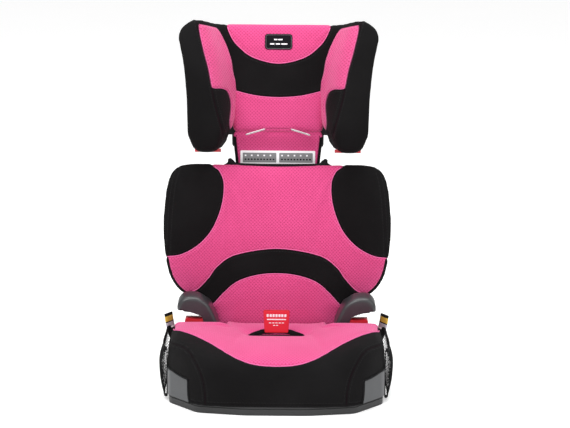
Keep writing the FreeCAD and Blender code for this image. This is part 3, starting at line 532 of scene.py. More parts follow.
def cover_material():
    """Pink spacer mesh where the pink field is positive, black knit elsewhere; line is the way to a seam."""
    s = Shader("cover_cloth")
    pink = s.field("pink")
    line = s.field("line")
    is_pink = s.step(pink, -0.3, 0.3)
    flat = s.weave()
    dots = s.cells(s.weave(1 / DIMPLE_PITCH, math.radians(45)), 1.0)
    dimple = s.step(dots, 0.22, 0.42, 1.0, 0.0)
    fibre = s.noise(flat, 1.3, 4.0, 0.7)
    cloud = s.noise(s.place(), 9.0, 3.0)
    mesh_color = s.blend(s.times(dimple, 0.65), PINK, PINK_DEEP)
    mesh_color = s.blend(s.times(fibre, 0.22), mesh_color, PINK_LIGHT)
    mesh_color = s.blend(s.step(cloud, 0.35, 0.7, 0.0, 0.14), mesh_color, PINK_DEEP)
    ribs = s.waves(flat, 0.42, "X", 0.4)
    knit_color = s.blend(s.step(cloud, 0.3, 0.75, 0.0, 0.5), BLACK_CLOTH, (0.009, 0.0086, 0.009))
    knit_color = s.blend(s.times(fibre, 0.35), knit_color, (0.014, 0.0133, 0.0137))
    color = s.blend(is_pink, knit_color, mesh_color)
    # Painted shade: the cloth colour darkens to near black within 2 mm of every seam, where the sunk grooves
    # fall into shade.
    seam_shade = s.step(line, 0.4, 2.0, 1.0, 0.0)
    color = s.blend(s.times(seam_shade, 0.85), color, (0.006, 0.001, 0.003))
    stitch_gap = s.maths("ABSOLUTE", s.maths("SUBTRACT", line, STITCH_FROM_SEAM))
    stitch_dash = s.step(s.waves(flat, 0.11, "DIAGONAL"), 0.35, 0.5)
    thread = s.times(s.step(stitch_gap, 0.25, 0.7, 1.0, 0.0), stitch_dash)
    thread_color = s.blend(is_pink, (0.03, 0.029, 0.03), PINK_LIGHT)
    color = s.blend(s.times(thread, 0.35), color, thread_color)
    relief = s.times(dimple, s.times(is_pink, -1.0))
    rib_share = s.maths("SUBTRACT", 0.22, s.times(is_pink, 0.2))
    relief = s.plus(relief, s.times(ribs, rib_share))
    relief = s.plus(relief, s.times(fibre, 0.3))
    relief = s.plus(relief, s.times(thread, 0.5))
    pucker = s.times(s.noise(flat, 0.09, 2.0), s.step(line, 2.0, 16.0, 1.0, 0.0))
    normal = s.bump(relief, 0.6, 0.0007, s.bump(pucker, 0.5, 0.004))
    rough = s.plus(0.75, s.times(fibre, 0.2))
    tint = s.blend(is_pink, (0.02, 0.02, 0.02), (1.0, 0.55, 0.75))
    specular = s.plus(0.05, s.times(is_pink, 0.12))
    sheen = {"Sheen_Weight": 0.4, "Sheen_Roughness": 0.45, "Sheen_Tint": tint}
    return s.finish(color, rough, normal, specular=specular, **sheen)


def piping_material(name, color):
    """Welt cord covered in twisted cloth."""
    s = Shader(name)
    twist = s.waves(s.place((1, 1, 1), 0.7), 260.0, "DIAGONAL", 1.0)
    shade = s.blend(s.times(twist, 0.35), color, darker(color, 0.55))
    return s.finish(shade, 0.78, s.bump(twist, 0.4, 0.0004), specular=0.15)


def plastic_material(name, color, roughness, grain=900.0, depth=0.00012):
    """Moulded plastic with a fine spark-eroded grain and faint handling marks."""
    s = Shader(name)
    spot = s.place()
    fine = s.noise(spot, grain, 2.0, 0.6)
    broad = s.noise(spot, 14.0, 4.0, 0.6)
    scuff = s.step(s.noise(s.place((1, 6, 1)), 60.0, 5.0, 0.7), 0.62, 0.72)
    light = tuple(min(1.0, c * 1.5 + 0.01) for c in color)
    shade = s.blend(s.step(broad, 0.3, 0.75, 0.0, 0.45), color, light)
    shade = s.blend(s.times(scuff, 0.06), shade, (0.35, 0.35, 0.36))
    rough = s.plus(roughness, s.step(broad, 0.2, 0.8, -0.06, 0.08))
    return s.finish(shade, rough, s.bump(fine, 0.5, depth), specular=0.5)


def webbing_material(name, color, pitch=420.0):
    """Tightly woven belt webbing."""
    s = Shader(name)
    spot = s.place()
    ribs = s.waves(spot, pitch, "X", 0.3)
    rows = s.waves(spot, pitch * 0.6, "Z", 0.3)
    cloth = s.times(ribs, rows)
    shade = s.blend(cloth, darker(color, 0.45), color)
    return s.finish(shade, 0.8, s.bump(cloth, 0.6, 0.0005), specular=0.2)


def metal_material(name, color, roughness):
    """Zinc-plated steel."""
    s = Shader(name)
    brushed = s.noise(s.place((1, 25, 1)), 180.0, 3.0)
    cloud = s.noise(s.place(), 30.0, 3.0)
    shade = s.blend(s.step(cloud, 0.3, 0.7, 0.0, 0.5), color, darker(color, 0.7))
    rough = s.plus(roughness, s.times(brushed, 0.18))
    return s.finish(shade, rough, s.bump(brushed, 0.15, 0.0001), metallic=1.0)


def soft_material(name, color, roughness=0.85, cell=700.0, depth=0.0005):
    """Open foam or matt rubber."""
    s = Shader(name)
    pores = s.cells(s.place(), cell, 1.0)
    cloud = s.noise(s.place(), 20.0, 3.0)
    shade = s.blend(s.times(pores, 0.6), darker(color, 0.6), color)
    shade = s.blend(s.step(cloud, 0.4, 0.7, 0.0, 0.2), shade, darker(color, 0.8))
    return s.finish(shade, roughness, s.bump(pores, 0.5, depth), specular=0.3)


def label_material(name, color, shine=0.45, gloss=0.4):
    """Printed satin tape with a faint warp."""
    s = Shader(name)
    warp = s.waves(s.place(), 700.0, "X", 0.2)
    shade = s.blend(s.times(warp, 0.16), color, darker(color, 0.7))
    shade = s.blend(s.step(s.noise(s.place(), 40.0), 0.45, 0.75, 0.0, 0.12), shade, darker(color, 0.8))
    return s.finish(shade, shine, s.bump(warp, 0.3, 0.0002), specular=gloss)


COVER = cover_material()
PINK_WELT = piping_material("pink_welt", (0.70, 0.13, 0.32))
BLACK_WELT = piping_material("black_welt", (0.006, 0.006, 0.0065))
BLACK_PLASTIC = plastic_material("black_plastic", (0.009, 0.009, 0.0095), 0.5)
HORN_GREY = plastic_material("horn_grey", (0.021, 0.0215, 0.0235), 0.33, 700.0, 0.00005)
TRIM_GREY = plastic_material("trim_grey", (0.036, 0.038, 0.041), 0.42)
BASE_GREY = plastic_material("base_grey", (0.0085, 0.0085, 0.009), 0.5)
RED_PLASTIC = plastic_material("red_plastic", (0.42, 0.008, 0.016), 0.45, 1200.0, 0.00006)
LINK_NYLON = plastic_material("link_nylon", (0.30, 0.30, 0.29), 0.5)
RUBBER = soft_material("rubber", (0.02, 0.02, 0.02), 0.7, 1500.0, 0.0002)
FOAM = soft_material("foam", (0.62, 0.60, 0.52))
STEEL = metal_material("steel", (0.55, 0.55, 0.57), 0.3)
WEBBING = webbing_material("webbing", (0.010, 0.010, 0.011))
NET = webbing_material("net_cord", (0.009, 0.009, 0.010), 900.0)
HEM = webbing_material("hem_elastic", (0.011, 0.011, 0.012), 260.0)
WHITE_LABEL = label_material("white_label", (0.78, 0.76, 0.78))
PALE_LABEL = label_material("pale_label", (0.42, 0.40, 0.46))
GREY_LABEL = label_material("grey_label", (0.17, 0.17, 0.175))
DARK_LABEL = label_material("dark_label", (0.004, 0.004, 0.006), 0.8, 0.12)
GOLD_LABEL = label_material("gold_label", (0.62, 0.40, 0.06), 0.4)
RED_LABEL = label_material("red_label", (0.62, 0.020, 0.038), 0.6, 0.25)


# ---- Covers ----
GROOVE = 1.6
CUSHION_SLOT = "pink_mesh_fabric"
NO_SEAM = 40.0


def held_by(line):
    """How firmly cloth is held: fully at a seam, not at all 6 mm away from it."""
    return np.clip(1.15 - line / 5.0, 0, 1)


def dress_in_cloth(piece, made):
    """Gives a piece its panels, seams and weave."""
    set_field(piece, "pink", made["pink"])
    set_field(piece, "line", made["line"])
    set_weave(piece, made["weave"])
    piece.data.materials.clear()
    piece.data.materials.append(COVER)


def sewn_cover(piece, fields, travel, voxel=5.0):
    """Turns a closed blank into a stuffed cover: fields(points) gives pink, line, held and weave."""
    piece = relaxed(resurfaced(piece, voxel), 3)
    puffed(piece, fields(coordinates(piece))["held"], travel)
    piece = refined(piece)
    points = coordinates(piece)
    made = fields(points)
    sunk = GROOVE * np.exp(-(made["line"] / 2.6) ** 2) + 0.5 * GROOVE * np.exp(-(made["line"] / 9.0) ** 2)
    set_coordinates(piece, points - normals(piece) * sunk[:, None])
    dress_in_cloth(piece, made)
    return piece


def welt(name, path, radius, material, body):
    """Round cord along a seam."""
    settle(sweep(name, path, circle(radius, 8), material, hint=(0.3, 0.2, 0.9)), body)


# Backrest, in the back frame: (height, how far the side wings stand forward)
BACK_REACH = np.array((
    (-25, 4), (10, 5), (45, 7), (80, 17), (115, 34), (150, 48), (195, 58), (250, 61), (290, 58), (325, 50),
))
WING_FROM, BACK_HALF_W = 70.0, 228.0
FOLD_HEIGHTS = (150, 290)
BACK_EDGE = symmetric([
    (0, 321), (70, 323), (135, 325), (180, 325), (208, 315), (222, 289), (229, 243), (230.5, 190),
    (228, 140), (219, 96), (204, 70), (185, 54), (154, 36), (132, 14), (124, -12), (100, -22), (50, -24),
    (0, -24),
])
BACK_CREASE = smooth_path([(200, 318), (208, 290), (213, 255), (217, 205), (219, 165), (219, 146)], 50)
BACK_PATCH = smooth_path([
    (140, 345), (133, 322), (118, 309), (109, 283), (113, 239), (131, 192), (158, 160), (190, 141),
    (218, 136), (245, 140), (252, 240), (247, 340), (190, 354),
], 120, closed=True)
ARCH_OUTER = smooth_path(mirror_line([
    (196, 48), (184, 58), (162, 67), (140, 90), (121, 115), (84, 138), (0, 151),
]), 90)
ARCH_INNER = smooth_path(mirror_line([(148, 22), (130, 37), (106, 63), (80, 84), (42, 97), (0, 101)]), 90)
ARCH = np.vstack((ARCH_OUTER, [(170, -60)], ARCH_INNER[::-1], [(-170, -60)]))
NECK_CORNER = [(80, 319), (85, 325), (92, 332.5), (98, 335.5), (102, 333), (103, 327), (112, 320), (96, 316)]
FLIP = np.array((-1.0, 1.0))
SIDES = (("left", 1), ("right", -1))


def wing_share(x):
    """0 at the backrest's middle, rising to 1 at the outer edge of its side wings."""
    return ease((np.abs(x) - WING_FROM) / (BACK_HALF_W - WING_FROM))


def back_surface(x, z):
    """Depth of the backrest's padded face."""
    return -np.interp(z, BACK_REACH[:, 0], BACK_REACH[:, 1]) * wing_share(x)


def pad_blank(name, edge, surface, thickness, radius, centre, crown=4.0):
    """Closed pad on the back frame, its front edge rounded over radius, its rear edge over a little less."""
    loop = smooth_path(edge, 240, closed=True)
    facing = inward(loop)
    half = thickness / 2
    rear_radius = 8.0
    centre = np.array(centre, float)

    def ring(flat, lift):
        depth = surface(flat[:, 0], flat[:, 1]) + half - lift
        return leaning(np.column_stack((flat[:, 0], depth, flat[:, 1])))

    front, rear = [], []
    for a in np.linspace(0, math.pi / 2, 8):
        front.append(ring(loop + facing * radius * (1 - math.cos(a)), half * math.sin(a)))
        rear.append(ring(loop + facing * rear_radius * (1 - math.cos(a)), -half * math.sin(a)))
    for share in np.linspace(0, 0.97, 22)[1:]:
        inner = loop + facing * radius
        front.append(ring(inner + (centre - inner) * share, half + crown * ease(share * 1.6)))
        inner = loop + facing * rear_radius
        rear.append(ring(inner + (centre - inner) * share, -half))
    return ring_solid(name, rear[:0:-1] + front)


def backrest_fields(points):
    """Panels, seams and weave of the backrest cover."""
    own = upright(points)
    flat = own[:, [0, 2]]
    surface = back_surface(flat[:, 0], flat[:, 1])
    fold = surface + np.interp(flat[:, 1], FOLD_HEIGHTS, (4.5, 17)) - own[:, 1]
    patches = np.maximum(region_distance(flat, BACK_PATCH), region_distance(flat * FLIP, BACK_PATCH))
    arch = region_distance(flat, ARCH)
    pink = np.minimum(-np.maximum(patches, arch), fold)
    front = own[:, 1] < surface + 22
    crease = line_distance(np.abs(flat), BACK_CREASE) + 0.9
    line = np.minimum(np.minimum(np.abs(patches), np.abs(arch)), crease)
    line = np.where(front, line, NO_SEAM)
    line = np.minimum(line, np.abs(fold) * np.interp(flat[:, 1], FOLD_HEIGHTS, (3.6, 1.0)))
    run = flat[:, 0] - np.sign(flat[:, 0]) * 0.22 * surface
    held = np.where(front, held_by(line), 1.0)
    return {"pink": pink, "line": line, "held": held, "weave": np.column_stack((run, flat[:, 1]))}


def seam_on_back(path, tree, lift=0.4):
    """Seam path drawn on (x, z), laid on a cover from the front."""
    starts = on_back(path[:, 0], path[:, 1], np.full(len(path), -RAY_START))
    return draped(tree, starts, REAR, lift)


def seam_from_above(path, tree, lift):
    """Seam path drawn on (x, y), laid on a cover from above."""
    return draped(tree, np.column_stack((path, np.full(len(path), RAY_START))), (0, 0, -1), lift)


def build_backrest():
    """Backrest cushion with its welts."""
    blank = pad_blank("backrest_cushion", BACK_EDGE, back_surface, 26.0, 20.0, (0, 150))
    cushion = sewn_cover(blank, backrest_fields, 7.0)
    settle(cushion, "backrest", CUSHION_SLOT, "backrest_cover", "backrest_foam")
    tree = surface_of(cushion)
    patch = BACK_PATCH[region_distance(BACK_PATCH, smooth_path(BACK_EDGE, 200, closed=True)) > 5]
    for side, turn in SIDES:
        welt("patch_welt_" + side, seam_on_back(patch * (turn, 1), tree), 1.1, PINK_WELT, "backrest")
    outer = ARCH_OUTER[np.abs(ARCH_OUTER[:, 0]) < 192]
    inner = ARCH_INNER[np.abs(ARCH_INNER[:, 0]) < 142]
    welt("arch_welt_outer", seam_on_back(outer + (0, 1.2), tree), 1.1, PINK_WELT, "backrest")
    welt("arch_welt_inner", seam_on_back(inner - (0, 1.2), tree), 1.1, PINK_WELT, "backrest")
    hem = smooth_path(mirror_line([(98, 335), (95, 329), (87, 323.5), (40, 322)]), 90)
    welt("neck_opening_hem", on_back(hem[:, 0], hem[:, 1], np.full(90, 15.0)), 2.9, BLACK_WELT, "backrest")
    corner = slab("neck_opening_corner_left", NECK_CORNER, 12.0, 18.0, on_back, BLACK_WELT, 1.6)
    for piece in (corner, mirrored(corner, "neck_opening_corner_right")):
        settle(piece, "backrest")


# Headrest centre pad
HEAD_FRONT = 8.0
HEAD_EDGE = symmetric([
    (0, 611), (60, 611), (112, 610), (140, 607), (152, 597), (146, 578), (122, 556), (103, 504), (97, 474),
    (96, 430), (93, 398), (84, 389), (40, 388), (0, 388),
])
HEAD_DISC = smooth_path(mirror_line([(112, 640), (106, 607), (97, 583), (82, 563), (52, 541), (0, 529)]), 80)
HEAD_LOWER = smooth_path(mirror_line([(140, 492), (112, 482), (84, 473), (44, 464), (0, 461)]), 60)
HEAD_TUCK = smooth_path(mirror_line([(100, 384), (84, 387), (58, 386), (24, 395), (0, 396)]), 60)


def head_surface(x, z):
    """Depth of the headrest's centre face."""
    return HEAD_FRONT - 9.0 * ease((np.abs(x) - 55.0) / 75.0) * ease((z - 400.0) / 60.0)


def headrest_fields(points):
    """Panels, seams and weave of the headrest's centre."""
    own = upright(points)
    flat = own[:, [0, 2]]
    surface = head_surface(flat[:, 0], flat[:, 1])
    fold = surface + 20 - own[:, 1]
    disc = region_distance(flat, HEAD_DISC)
    lower = np.interp(flat[:, 0], HEAD_LOWER[:, 0], HEAD_LOWER[:, 1]) - flat[:, 1]
    pink = np.minimum(np.maximum(disc, lower), fold)
    front = own[:, 1] < surface + 20
    tuck = line_distance(flat, HEAD_TUCK)
    line = np.minimum(np.minimum(np.abs(disc), np.abs(lower)), tuck + 0.8)
    line = np.minimum(np.where(front, line, NO_SEAM), np.abs(fold))
    return {"pink": pink, "line": line, "held": np.where(front, held_by(line), 1.0), "weave": flat}


def build_headrest_centre():
    """Centre cushion of the headrest; gives back its surface."""
    blank = pad_blank("headrest_cushion", HEAD_EDGE, head_surface, 30.0, 14.0, (0, 500), crown=3.0)
    cushion = sewn_cover(blank, headrest_fields, 6.0, voxel=4.5)
    settle(cushion, "headrest", CUSHION_SLOT, "headrest_cover", "headrest_foam")
    tree = surface_of(cushion)
    disc = HEAD_DISC[HEAD_DISC[:, 1] < 604]
    lower = HEAD_LOWER[np.abs(HEAD_LOWER[:, 0]) < 96]
    welt("disc_welt", seam_on_back(disc + (0, 1.2), tree), 1.1, PINK_WELT, "headrest")
    welt("band_welt", seam_on_back(lower - (0, 1.2), tree), 1.0, PINK_WELT, "headrest")
    return tree


# Headrest wings: (height, root, front edge, outer edge, forward reach)
WING = np.array((
    (348, 116, 125, 167, 62), (357, 107, 120, 173, 74), (372, 100, 115, 178, 82), (384, 93, 112, 183.5, 88),
    (394, 91, 113, 182.5, 92), (410, 88, 114, 183, 95), (450, 84, 123, 184, 99), (490, 83, 132, 187, 100),
    (530, 86, 141, 192, 99), (566, 97, 149, 198, 96), (590, 107, 155, 202, 90), (612, 119, 161, 201, 84),
))
CHEEK_SEAM = smooth_path([
    (172, 640), (161, 598), (149, 553), (139, 514), (132, 480), (126, 450), (113, 401), (108, 380),
], 90)
CHEEK_PINK = smooth_path([
    (159, 600), (150, 554), (139, 514), (132.5, 481), (129, 476), (112, 476), (101, 469), (95, 445),
    (97, 402), (90, 378), (72, 400), (74, 474), (88, 506), (94, 540), (104, 570), (118, 596), (137, 608),
    (152, 611),
], 160, closed=True)
WING_FOOT, WING_TOP = 347.0, 615.5


def wing_plan(z):
    """Root, front edge, outer edge and forward reach of a wing at a height."""
    return [np.interp(z, WING[:, 0], WING[:, k]) for k in (1, 2, 3, 4)]


def wing_loop(z):
    """Outline of a wing's section at one height."""
    root, front, outer, reach = wing_plan(z)
    rear = min(root, 97.0)
    return smooth_path([
        (rear + 8, 36), (root, 16), (root * 0.72 + front * 0.28 + 1, 16 - 0.34 * reach),
        (root * 0.3 + front * 0.7 - 1, 12 - 0.78 * reach), (front, 11 - reach), (front + 8, 1 - reach),
        (outer - 12, 2 - reach), (outer - 1, 16 - reach),
        (outer * 0.62 + (rear + 46) * 0.38 + 4, 22 - 0.55 * reach), (rear + 48, 22), (rear + 34, 37),
    ], 90, closed=True)


def wing_lift(x, y, share):
    """Slopes a wing's top down from its crest at x = 168, and its foot up by the neck and at the rear."""
    top = np.where(x > 168, -0.62 * (x - 168), -0.09 * (168 - x))
    top = top - 10.0 * ease((y + 10) / 45) * ease((x - 128) / 20)
    foot = np.where(x < 122, 0.5 * (122 - x), 0.0) + 6.0 * ease((y + 38) / 16)
    return top * ease((share - 0.62) / 0.38) + foot * ease((0.34 - share) / 0.34)


def end_stations(low, high, radius, steps, straight, count):
    """Positions of sections from low to high, close together where both ends are rounded over radius."""
    ends = [radius * (1 - math.cos(a)) for a in np.linspace(0, math.pi / 2, steps)]
    middle = list(np.linspace(low + straight, high - straight, count))
    return [low + e for e in ends] + middle + [high - e for e in reversed(ends)]


def end_inset(spot, low, high, radius):
    """How far a section near a rounded end is drawn in."""
    gap = min(spot - low, high - spot, radius)
    return radius - math.sqrt(radius ** 2 - (radius - gap) ** 2)


def wing_blank(name):
    """Closed left wing."""
    low, high, radius = WING_FOOT, WING_TOP, 13.0
    rings = []
    for z in end_stations(low, high, radius, 7, 24, 26):
        loop = wing_loop(z)
        loop = loop + inward(loop) * end_inset(z, low, high, radius)
        lift = wing_lift(loop[:, 0], loop[:, 1], (z - low) / (high - low))
        rings.append(leaning(np.column_stack((loop[:, 0], loop[:, 1], z + lift))))
    return ring_solid(name, rings)


def wing_fields(points):
    """Panels, seams and weave of the left wing."""
    own = upright(points)
    x, y, z = own.T
    flat = own[:, [0, 2]]
    root, front, outer, reach = wing_plan(z)
    spine_x, spine_y = root + 20, np.full(len(z), 30.0)
    tip_x, tip_y = front + 7, 2 - reach
    length = np.hypot(tip_x - spine_x, tip_y - spine_y)
    cheek = ((tip_x - spine_x) * (y - spine_y) - (tip_y - spine_y) * (x - spine_x)) / -length
    panel = region_distance(flat, CHEEK_PINK)
    below_rim = WING_TOP + wing_lift(x, y, 1.0) - 9.0 - z
    panel = np.minimum(panel, np.maximum(below_rim, -20.0))
    pink = np.minimum(panel, cheek - 2)
    seam = line_distance(flat, CHEEK_SEAM)
    inner = cheek > -6
    rim = np.abs(y - (28 - 0.2 * (z - 450) / 150)) + 6 * (~inner)
    line = np.where(inner, np.minimum(np.abs(panel), seam), NO_SEAM)
    outer_edge = np.abs(y + reach - 26 - 0.25 * (outer - x)) + np.where(inner, 60.0, 0.0)
    line = np.minimum(line, np.minimum(outer_edge, rim + 3))
    held = np.maximum(held_by(line), ease((y - 14) / 10))
    return {"pink": pink, "line": line, "held": held, "weave": np.column_stack((x * 0.35 - y * 0.5, z))}


def build_wings():
    """Both wings of the headrest, the right one the mirror image of the left."""
    left = sewn_cover(wing_blank("headrest_wing_left"), wing_fields, 7.0)
    fields = {key: np.empty(len(left.data.vertices)) for key in ("pink", "line")}
    for key, values in fields.items():
        left.data.attributes[key].data.foreach_get("value", values)
    right = mirrored(left, "headrest_wing_right")
    for key, values in fields.items():
        set_field(right, key, values)
    set_weave(right, wing_fields(coordinates(right) * MIRROR)["weave"])
    x, z = CHEEK_PINK.T
    path = CHEEK_PINK[(z < 594) & (z > 404) & (x > 94) & ((x > 128) | (z < 500))]
    path = np.roll(path, -int(np.argmax(path[:, 1])), axis=0)
    cord = seam_on_back(path, surface_of(left), 0.3)
    for piece in (left, right):
        settle(piece, "headrest", CUSHION_SLOT, "headrest_cover", "headrest_foam")
    welt("cheek_welt_left", cord, 0.7, PINK_WELT, "headrest")
    welt("cheek_welt_right", cord * MIRROR, 0.7, PINK_WELT, "headrest")


# ---- Seat ----
# Seat pad: (y, height in the middle, height at the sides)
SEAT_TOP = np.array((
    (-222, 97, 100), (-200, 103, 122), (-175, 108, 129), (-130, 108, 130), (-60, 104, 127), (0, 101, 122),
    (46, 99, 115), (111, 96, 104),
))
SEAT_HALF_W, SEAT_HEM, SEAT_FRONT = 211.0, 15.0, -218.0
EDGE_ROUND = 27.0
SEAT_PLAN = [
    (0, -218), (60, -217), (120, -214), (150, -206), (172, -188), (192, -158), (205, -128), (210, -100),
    (211.4, -60), (211.4, 0), (211, 30), (207, 42), (190, 44.5), (130, 44.5), (110, 46), (104, 54),
    (103.5, 80), (103, 104), (97, 110), (60, 111), (0, 111),
]
SEAT_SEAM = [
    (0, -205.5), (28, -204.3), (54, -199), (75, -186.5), (92, -168.5), (108, -148.5), (126, -129),
    (144, -112.5), (161, -96), (180, -77), (193, -55), (201, -28), (204, 0), (205, 60),
]
ARC_SEAM = [
    (210, -96, 112), (202, -130, 119), (179, -165, 121), (166, -181, 115), (157, -192, 106),
    (147, -202, 90), (141, -208, 74), (137, -211, 58), (135, -213, 38), (134, -213, 10),
]


def seat_surface(x, y):
    """Height of the seat's top before its edges are rounded."""
    centre = np.interp(y, SEAT_TOP[:, 0], SEAT_TOP[:, 1])
    side = np.interp(y, SEAT_TOP[:, 0], SEAT_TOP[:, 2])
    spread = 0.5 - 0.34 * ease((y + 10.0) / 50.0)
    return centre + (side - centre) * ease((np.abs(x) / SEAT_HALF_W - 0.36) / spread)


def edge_radius(plan):
    """How wide the seat's edge is rounded: broad at the front and sides, tight at the rear."""
    return EDGE_ROUND - 18.0 * ease((plan[:, 1] - 20.0) / 24.0)


def seat_blank():
    """Closed block of the seat pad and its skirt."""
    plan = smooth_path(symmetric(SEAT_PLAN), 300, closed=True)
    facing = inward(plan)
    radius = edge_radius(plan)

    def ring(flat, drop):
        return np.column_stack((flat, seat_surface(flat[:, 0], flat[:, 1]) - drop))

    rings = [np.column_stack((plan * share, np.full(len(plan), SEAT_HEM))) for share in (0.2, 0.5, 0.8, 0.95)]
    shoulder = ring(plan, radius)[:, 2]
    for share in np.linspace(0, 0.93, 10):
        belly = 2.4 * math.sin(math.pi * share)
        height = SEAT_HEM + (shoulder - SEAT_HEM) * share
        rings.append(np.column_stack((plan - facing * (belly - 1.2), height)))
    for a in np.linspace(0.06, math.pi / 2, 9):
        inset = radius * (1 - math.cos(a)) + 1.2 * math.cos(a)
        rings.append(ring(plan + facing * inset[:, None], radius * (1 - math.sin(a))))
    inner = plan + facing * radius[:, None]
    for share in np.linspace(0, 0.97, 28)[1:]:
        rings.append(ring(inner + (np.array((0.0, -50.0)) - inner) * share, -2.0 * ease(share * 2)))
    return ring_solid("seat_cushion", rings)


def near_curve(points, curve):
    """Distance of each point from a dense 3-D curve."""
    nearest = np.full(len(points), FAR)
    for spot in curve:
        nearest = np.minimum(nearest, np.sum((points - spot) ** 2, axis=1))
    return np.sqrt(nearest)


def seat_fields(points, tree):
    """Panels, seams and weave of the seat cover; seams are laid on the surface of tree."""
    x, y, z = points.T
    folded = np.column_stack((np.abs(x), y, z))
    seam = smooth_path(SEAT_SEAM, 220)
    edge_gap = np.clip(np.minimum(SEAT_HALF_W - seam[:, 0], seam[:, 1] - SEAT_FRONT), 0.5, EDGE_ROUND)
    drop = EDGE_ROUND - np.sqrt(EDGE_ROUND ** 2 - (EDGE_ROUND - edge_gap) ** 2)
    seam_3d = snapped(tree, np.column_stack((seam, seat_surface(seam[:, 0], seam[:, 1]) - drop)))
    away = near_curve(folded, seam_3d)
    region = np.vstack((seam, [(208, 200), (-20, 200), (-20, -205.5)]))
    inside = region_distance(folded[:, :2], region) > 0
    lowest_pink = np.where((folded[:, 0] > 104) & (y > 34), 106, np.where(folded[:, 0] > 200, 96, 84))
    inside &= z > lowest_pink
    pink = np.where(inside, away, -away)
    arcs = near_curve(folded, snapped(tree, smooth_path(ARC_SEAM, 220)))
    line = np.minimum(away, arcs)
    hem = np.abs(z - (SEAT_HEM + 7)) + 1.2
    line = np.minimum(line, np.where(y < 40, hem, 60.0))
    held = np.maximum(held_by(np.minimum(away, arcs)), ease((52 - z) / 20))
    held = np.maximum(held, ease((y - 30) / 14) * (folded[:, 0] > 95))
    slit = np.hypot(np.clip(np.abs(x) - 50, 0, None), y)
    held = np.maximum(held, ease((22 - slit) / 12))
    steep = ease((96 - z) / 30)
    flat = np.column_stack((x + np.sign(x) * 0.3 * steep * (96 - z), y - steep * (96 - z) * 0.9))
    return {"pink": pink, "line": line, "held": held, "weave": flat}


WINDOW_X, WINDOW_TOP, WINDOW_REAR = (100, 162, 214, 240), (64, 64, 69, 71), -115.5
CORNER_ALONG = (0.658, 0.753)


def trim_window(points):
    """How far each point lies inside the openings for the grey corner panels."""
    x, y, z = np.abs(points[:, 0]), points[:, 1], points[:, 2]
    along = (x - 162.5) * CORNER_ALONG[0] + (y + 181.7) * CORNER_ALONG[1] + 6.5
    upper = np.interp(x, WINDOW_X, WINDOW_TOP)
    return np.minimum(np.minimum(along, WINDOW_REAR - y), upper - z)


def window_edge():
    """Edge of the left corner opening: up its inner side, round the corner, down its rear side."""
    plan = smooth_path([spot for spot in SEAT_PLAN if spot[0] > 130 and spot[1] < -50], 200)
    flat = plan[trim_window(np.column_stack((plan, np.full(len(plan), 30.0)))) > 0]
    top = np.column_stack((flat, np.interp(flat[:, 0], WINDOW_X, WINDOW_TOP)))
    heights = np.linspace(SEAT_HEM + 2, 60, 24)
    up, down = (np.column_stack((np.tile(flat[end], (24, 1)), heights)) for end in (0, -1))
    return smooth_path(np.vstack((up, top[2:-2:6], down[::-1])), 150)


def build_seat():
    """Seat cushion with its skirt, slit and welts; gives back its surface."""
    blank = seat_blank()
    tree = surface_of(blank)
    cushion = sewn_cover(blank, lambda points: seat_fields(points, tree), 6.0, voxel=5.5)
    rim = snapped(surface_of(cushion), window_edge())
    for side, turn in SIDES:
        welt("window_binding_" + side, rim * (turn, 1, 1), 1.9, BLACK_WELT, "base")
    points = coordinates(cushion)
    x, y, z = points.T
    facing = normals(cushion)
    facing[:, 2] = 0
    facing /= np.maximum(np.linalg.norm(facing, axis=1), 1e-6)[:, None]
    sink = 11.0 * ease((trim_window(points) + 1.0) / 2.5) * (z < 90) * (y < -100)
    points = points - facing * sink[:, None]
    slit = np.hypot(np.clip(np.abs(x) - 48, 0, None), y + 0.5)
    points[:, 2] -= np.where(z > 80, 24 * ease((7.5 - slit) / 6.0) + 3.5 * ease((32 - slit) / 30.0), 0)
    set_coordinates(cushion, points)
    settle(cushion, "base", CUSHION_SLOT, "seat_cover", "seat_foam")
    tree = surface_of(cushion)
    seam = smooth_path([p for p in SEAT_SEAM if p[1] < 20], 110)
    whole = np.vstack((seam[::-1] * (-1, 1), seam[1:]))
    welt("seat_welt", seam_from_above(whole + (0, 0.8), tree, 0.5), 1.25, PINK_WELT, "base")
    return tree


# ---- Neck ----
NECK_EDGE = symmetric([
    (0, 394), (60, 394), (82, 393), (89, 389), (91.5, 379), (90, 358), (88, 340), (86.5, 322), (85, 290),
    (84.5, 226), (80.5, 212), (67, 206.5), (45, 206), (0, 206),
])
NECK_MIDDLE = np.array((0.0, 300.0))


def neck_surface(z):
    """Depth of the neck panel's face."""
    return 33.0 - 15.0 * ease((z - 350.0) / 36.0)


def neck_fields(points):
    """Panels, seams and weave of the neck: pink with black bound edges."""
    own = upright(points)
    flat = own[:, [0, 2]]
    edge = region_distance(flat, smooth_path(NECK_EDGE, 160, closed=True))
    bound = edge - 6.0
    front = own[:, 1] < neck_surface(flat[:, 1]) + 4
    pink = np.where(front, np.where(flat[:, 1] > 380, 9.0, bound), -6.0)
    line = np.where(front & (flat[:, 1] < 384), np.abs(bound), NO_SEAM)
    return {"pink": pink, "line": line, "weave": flat}


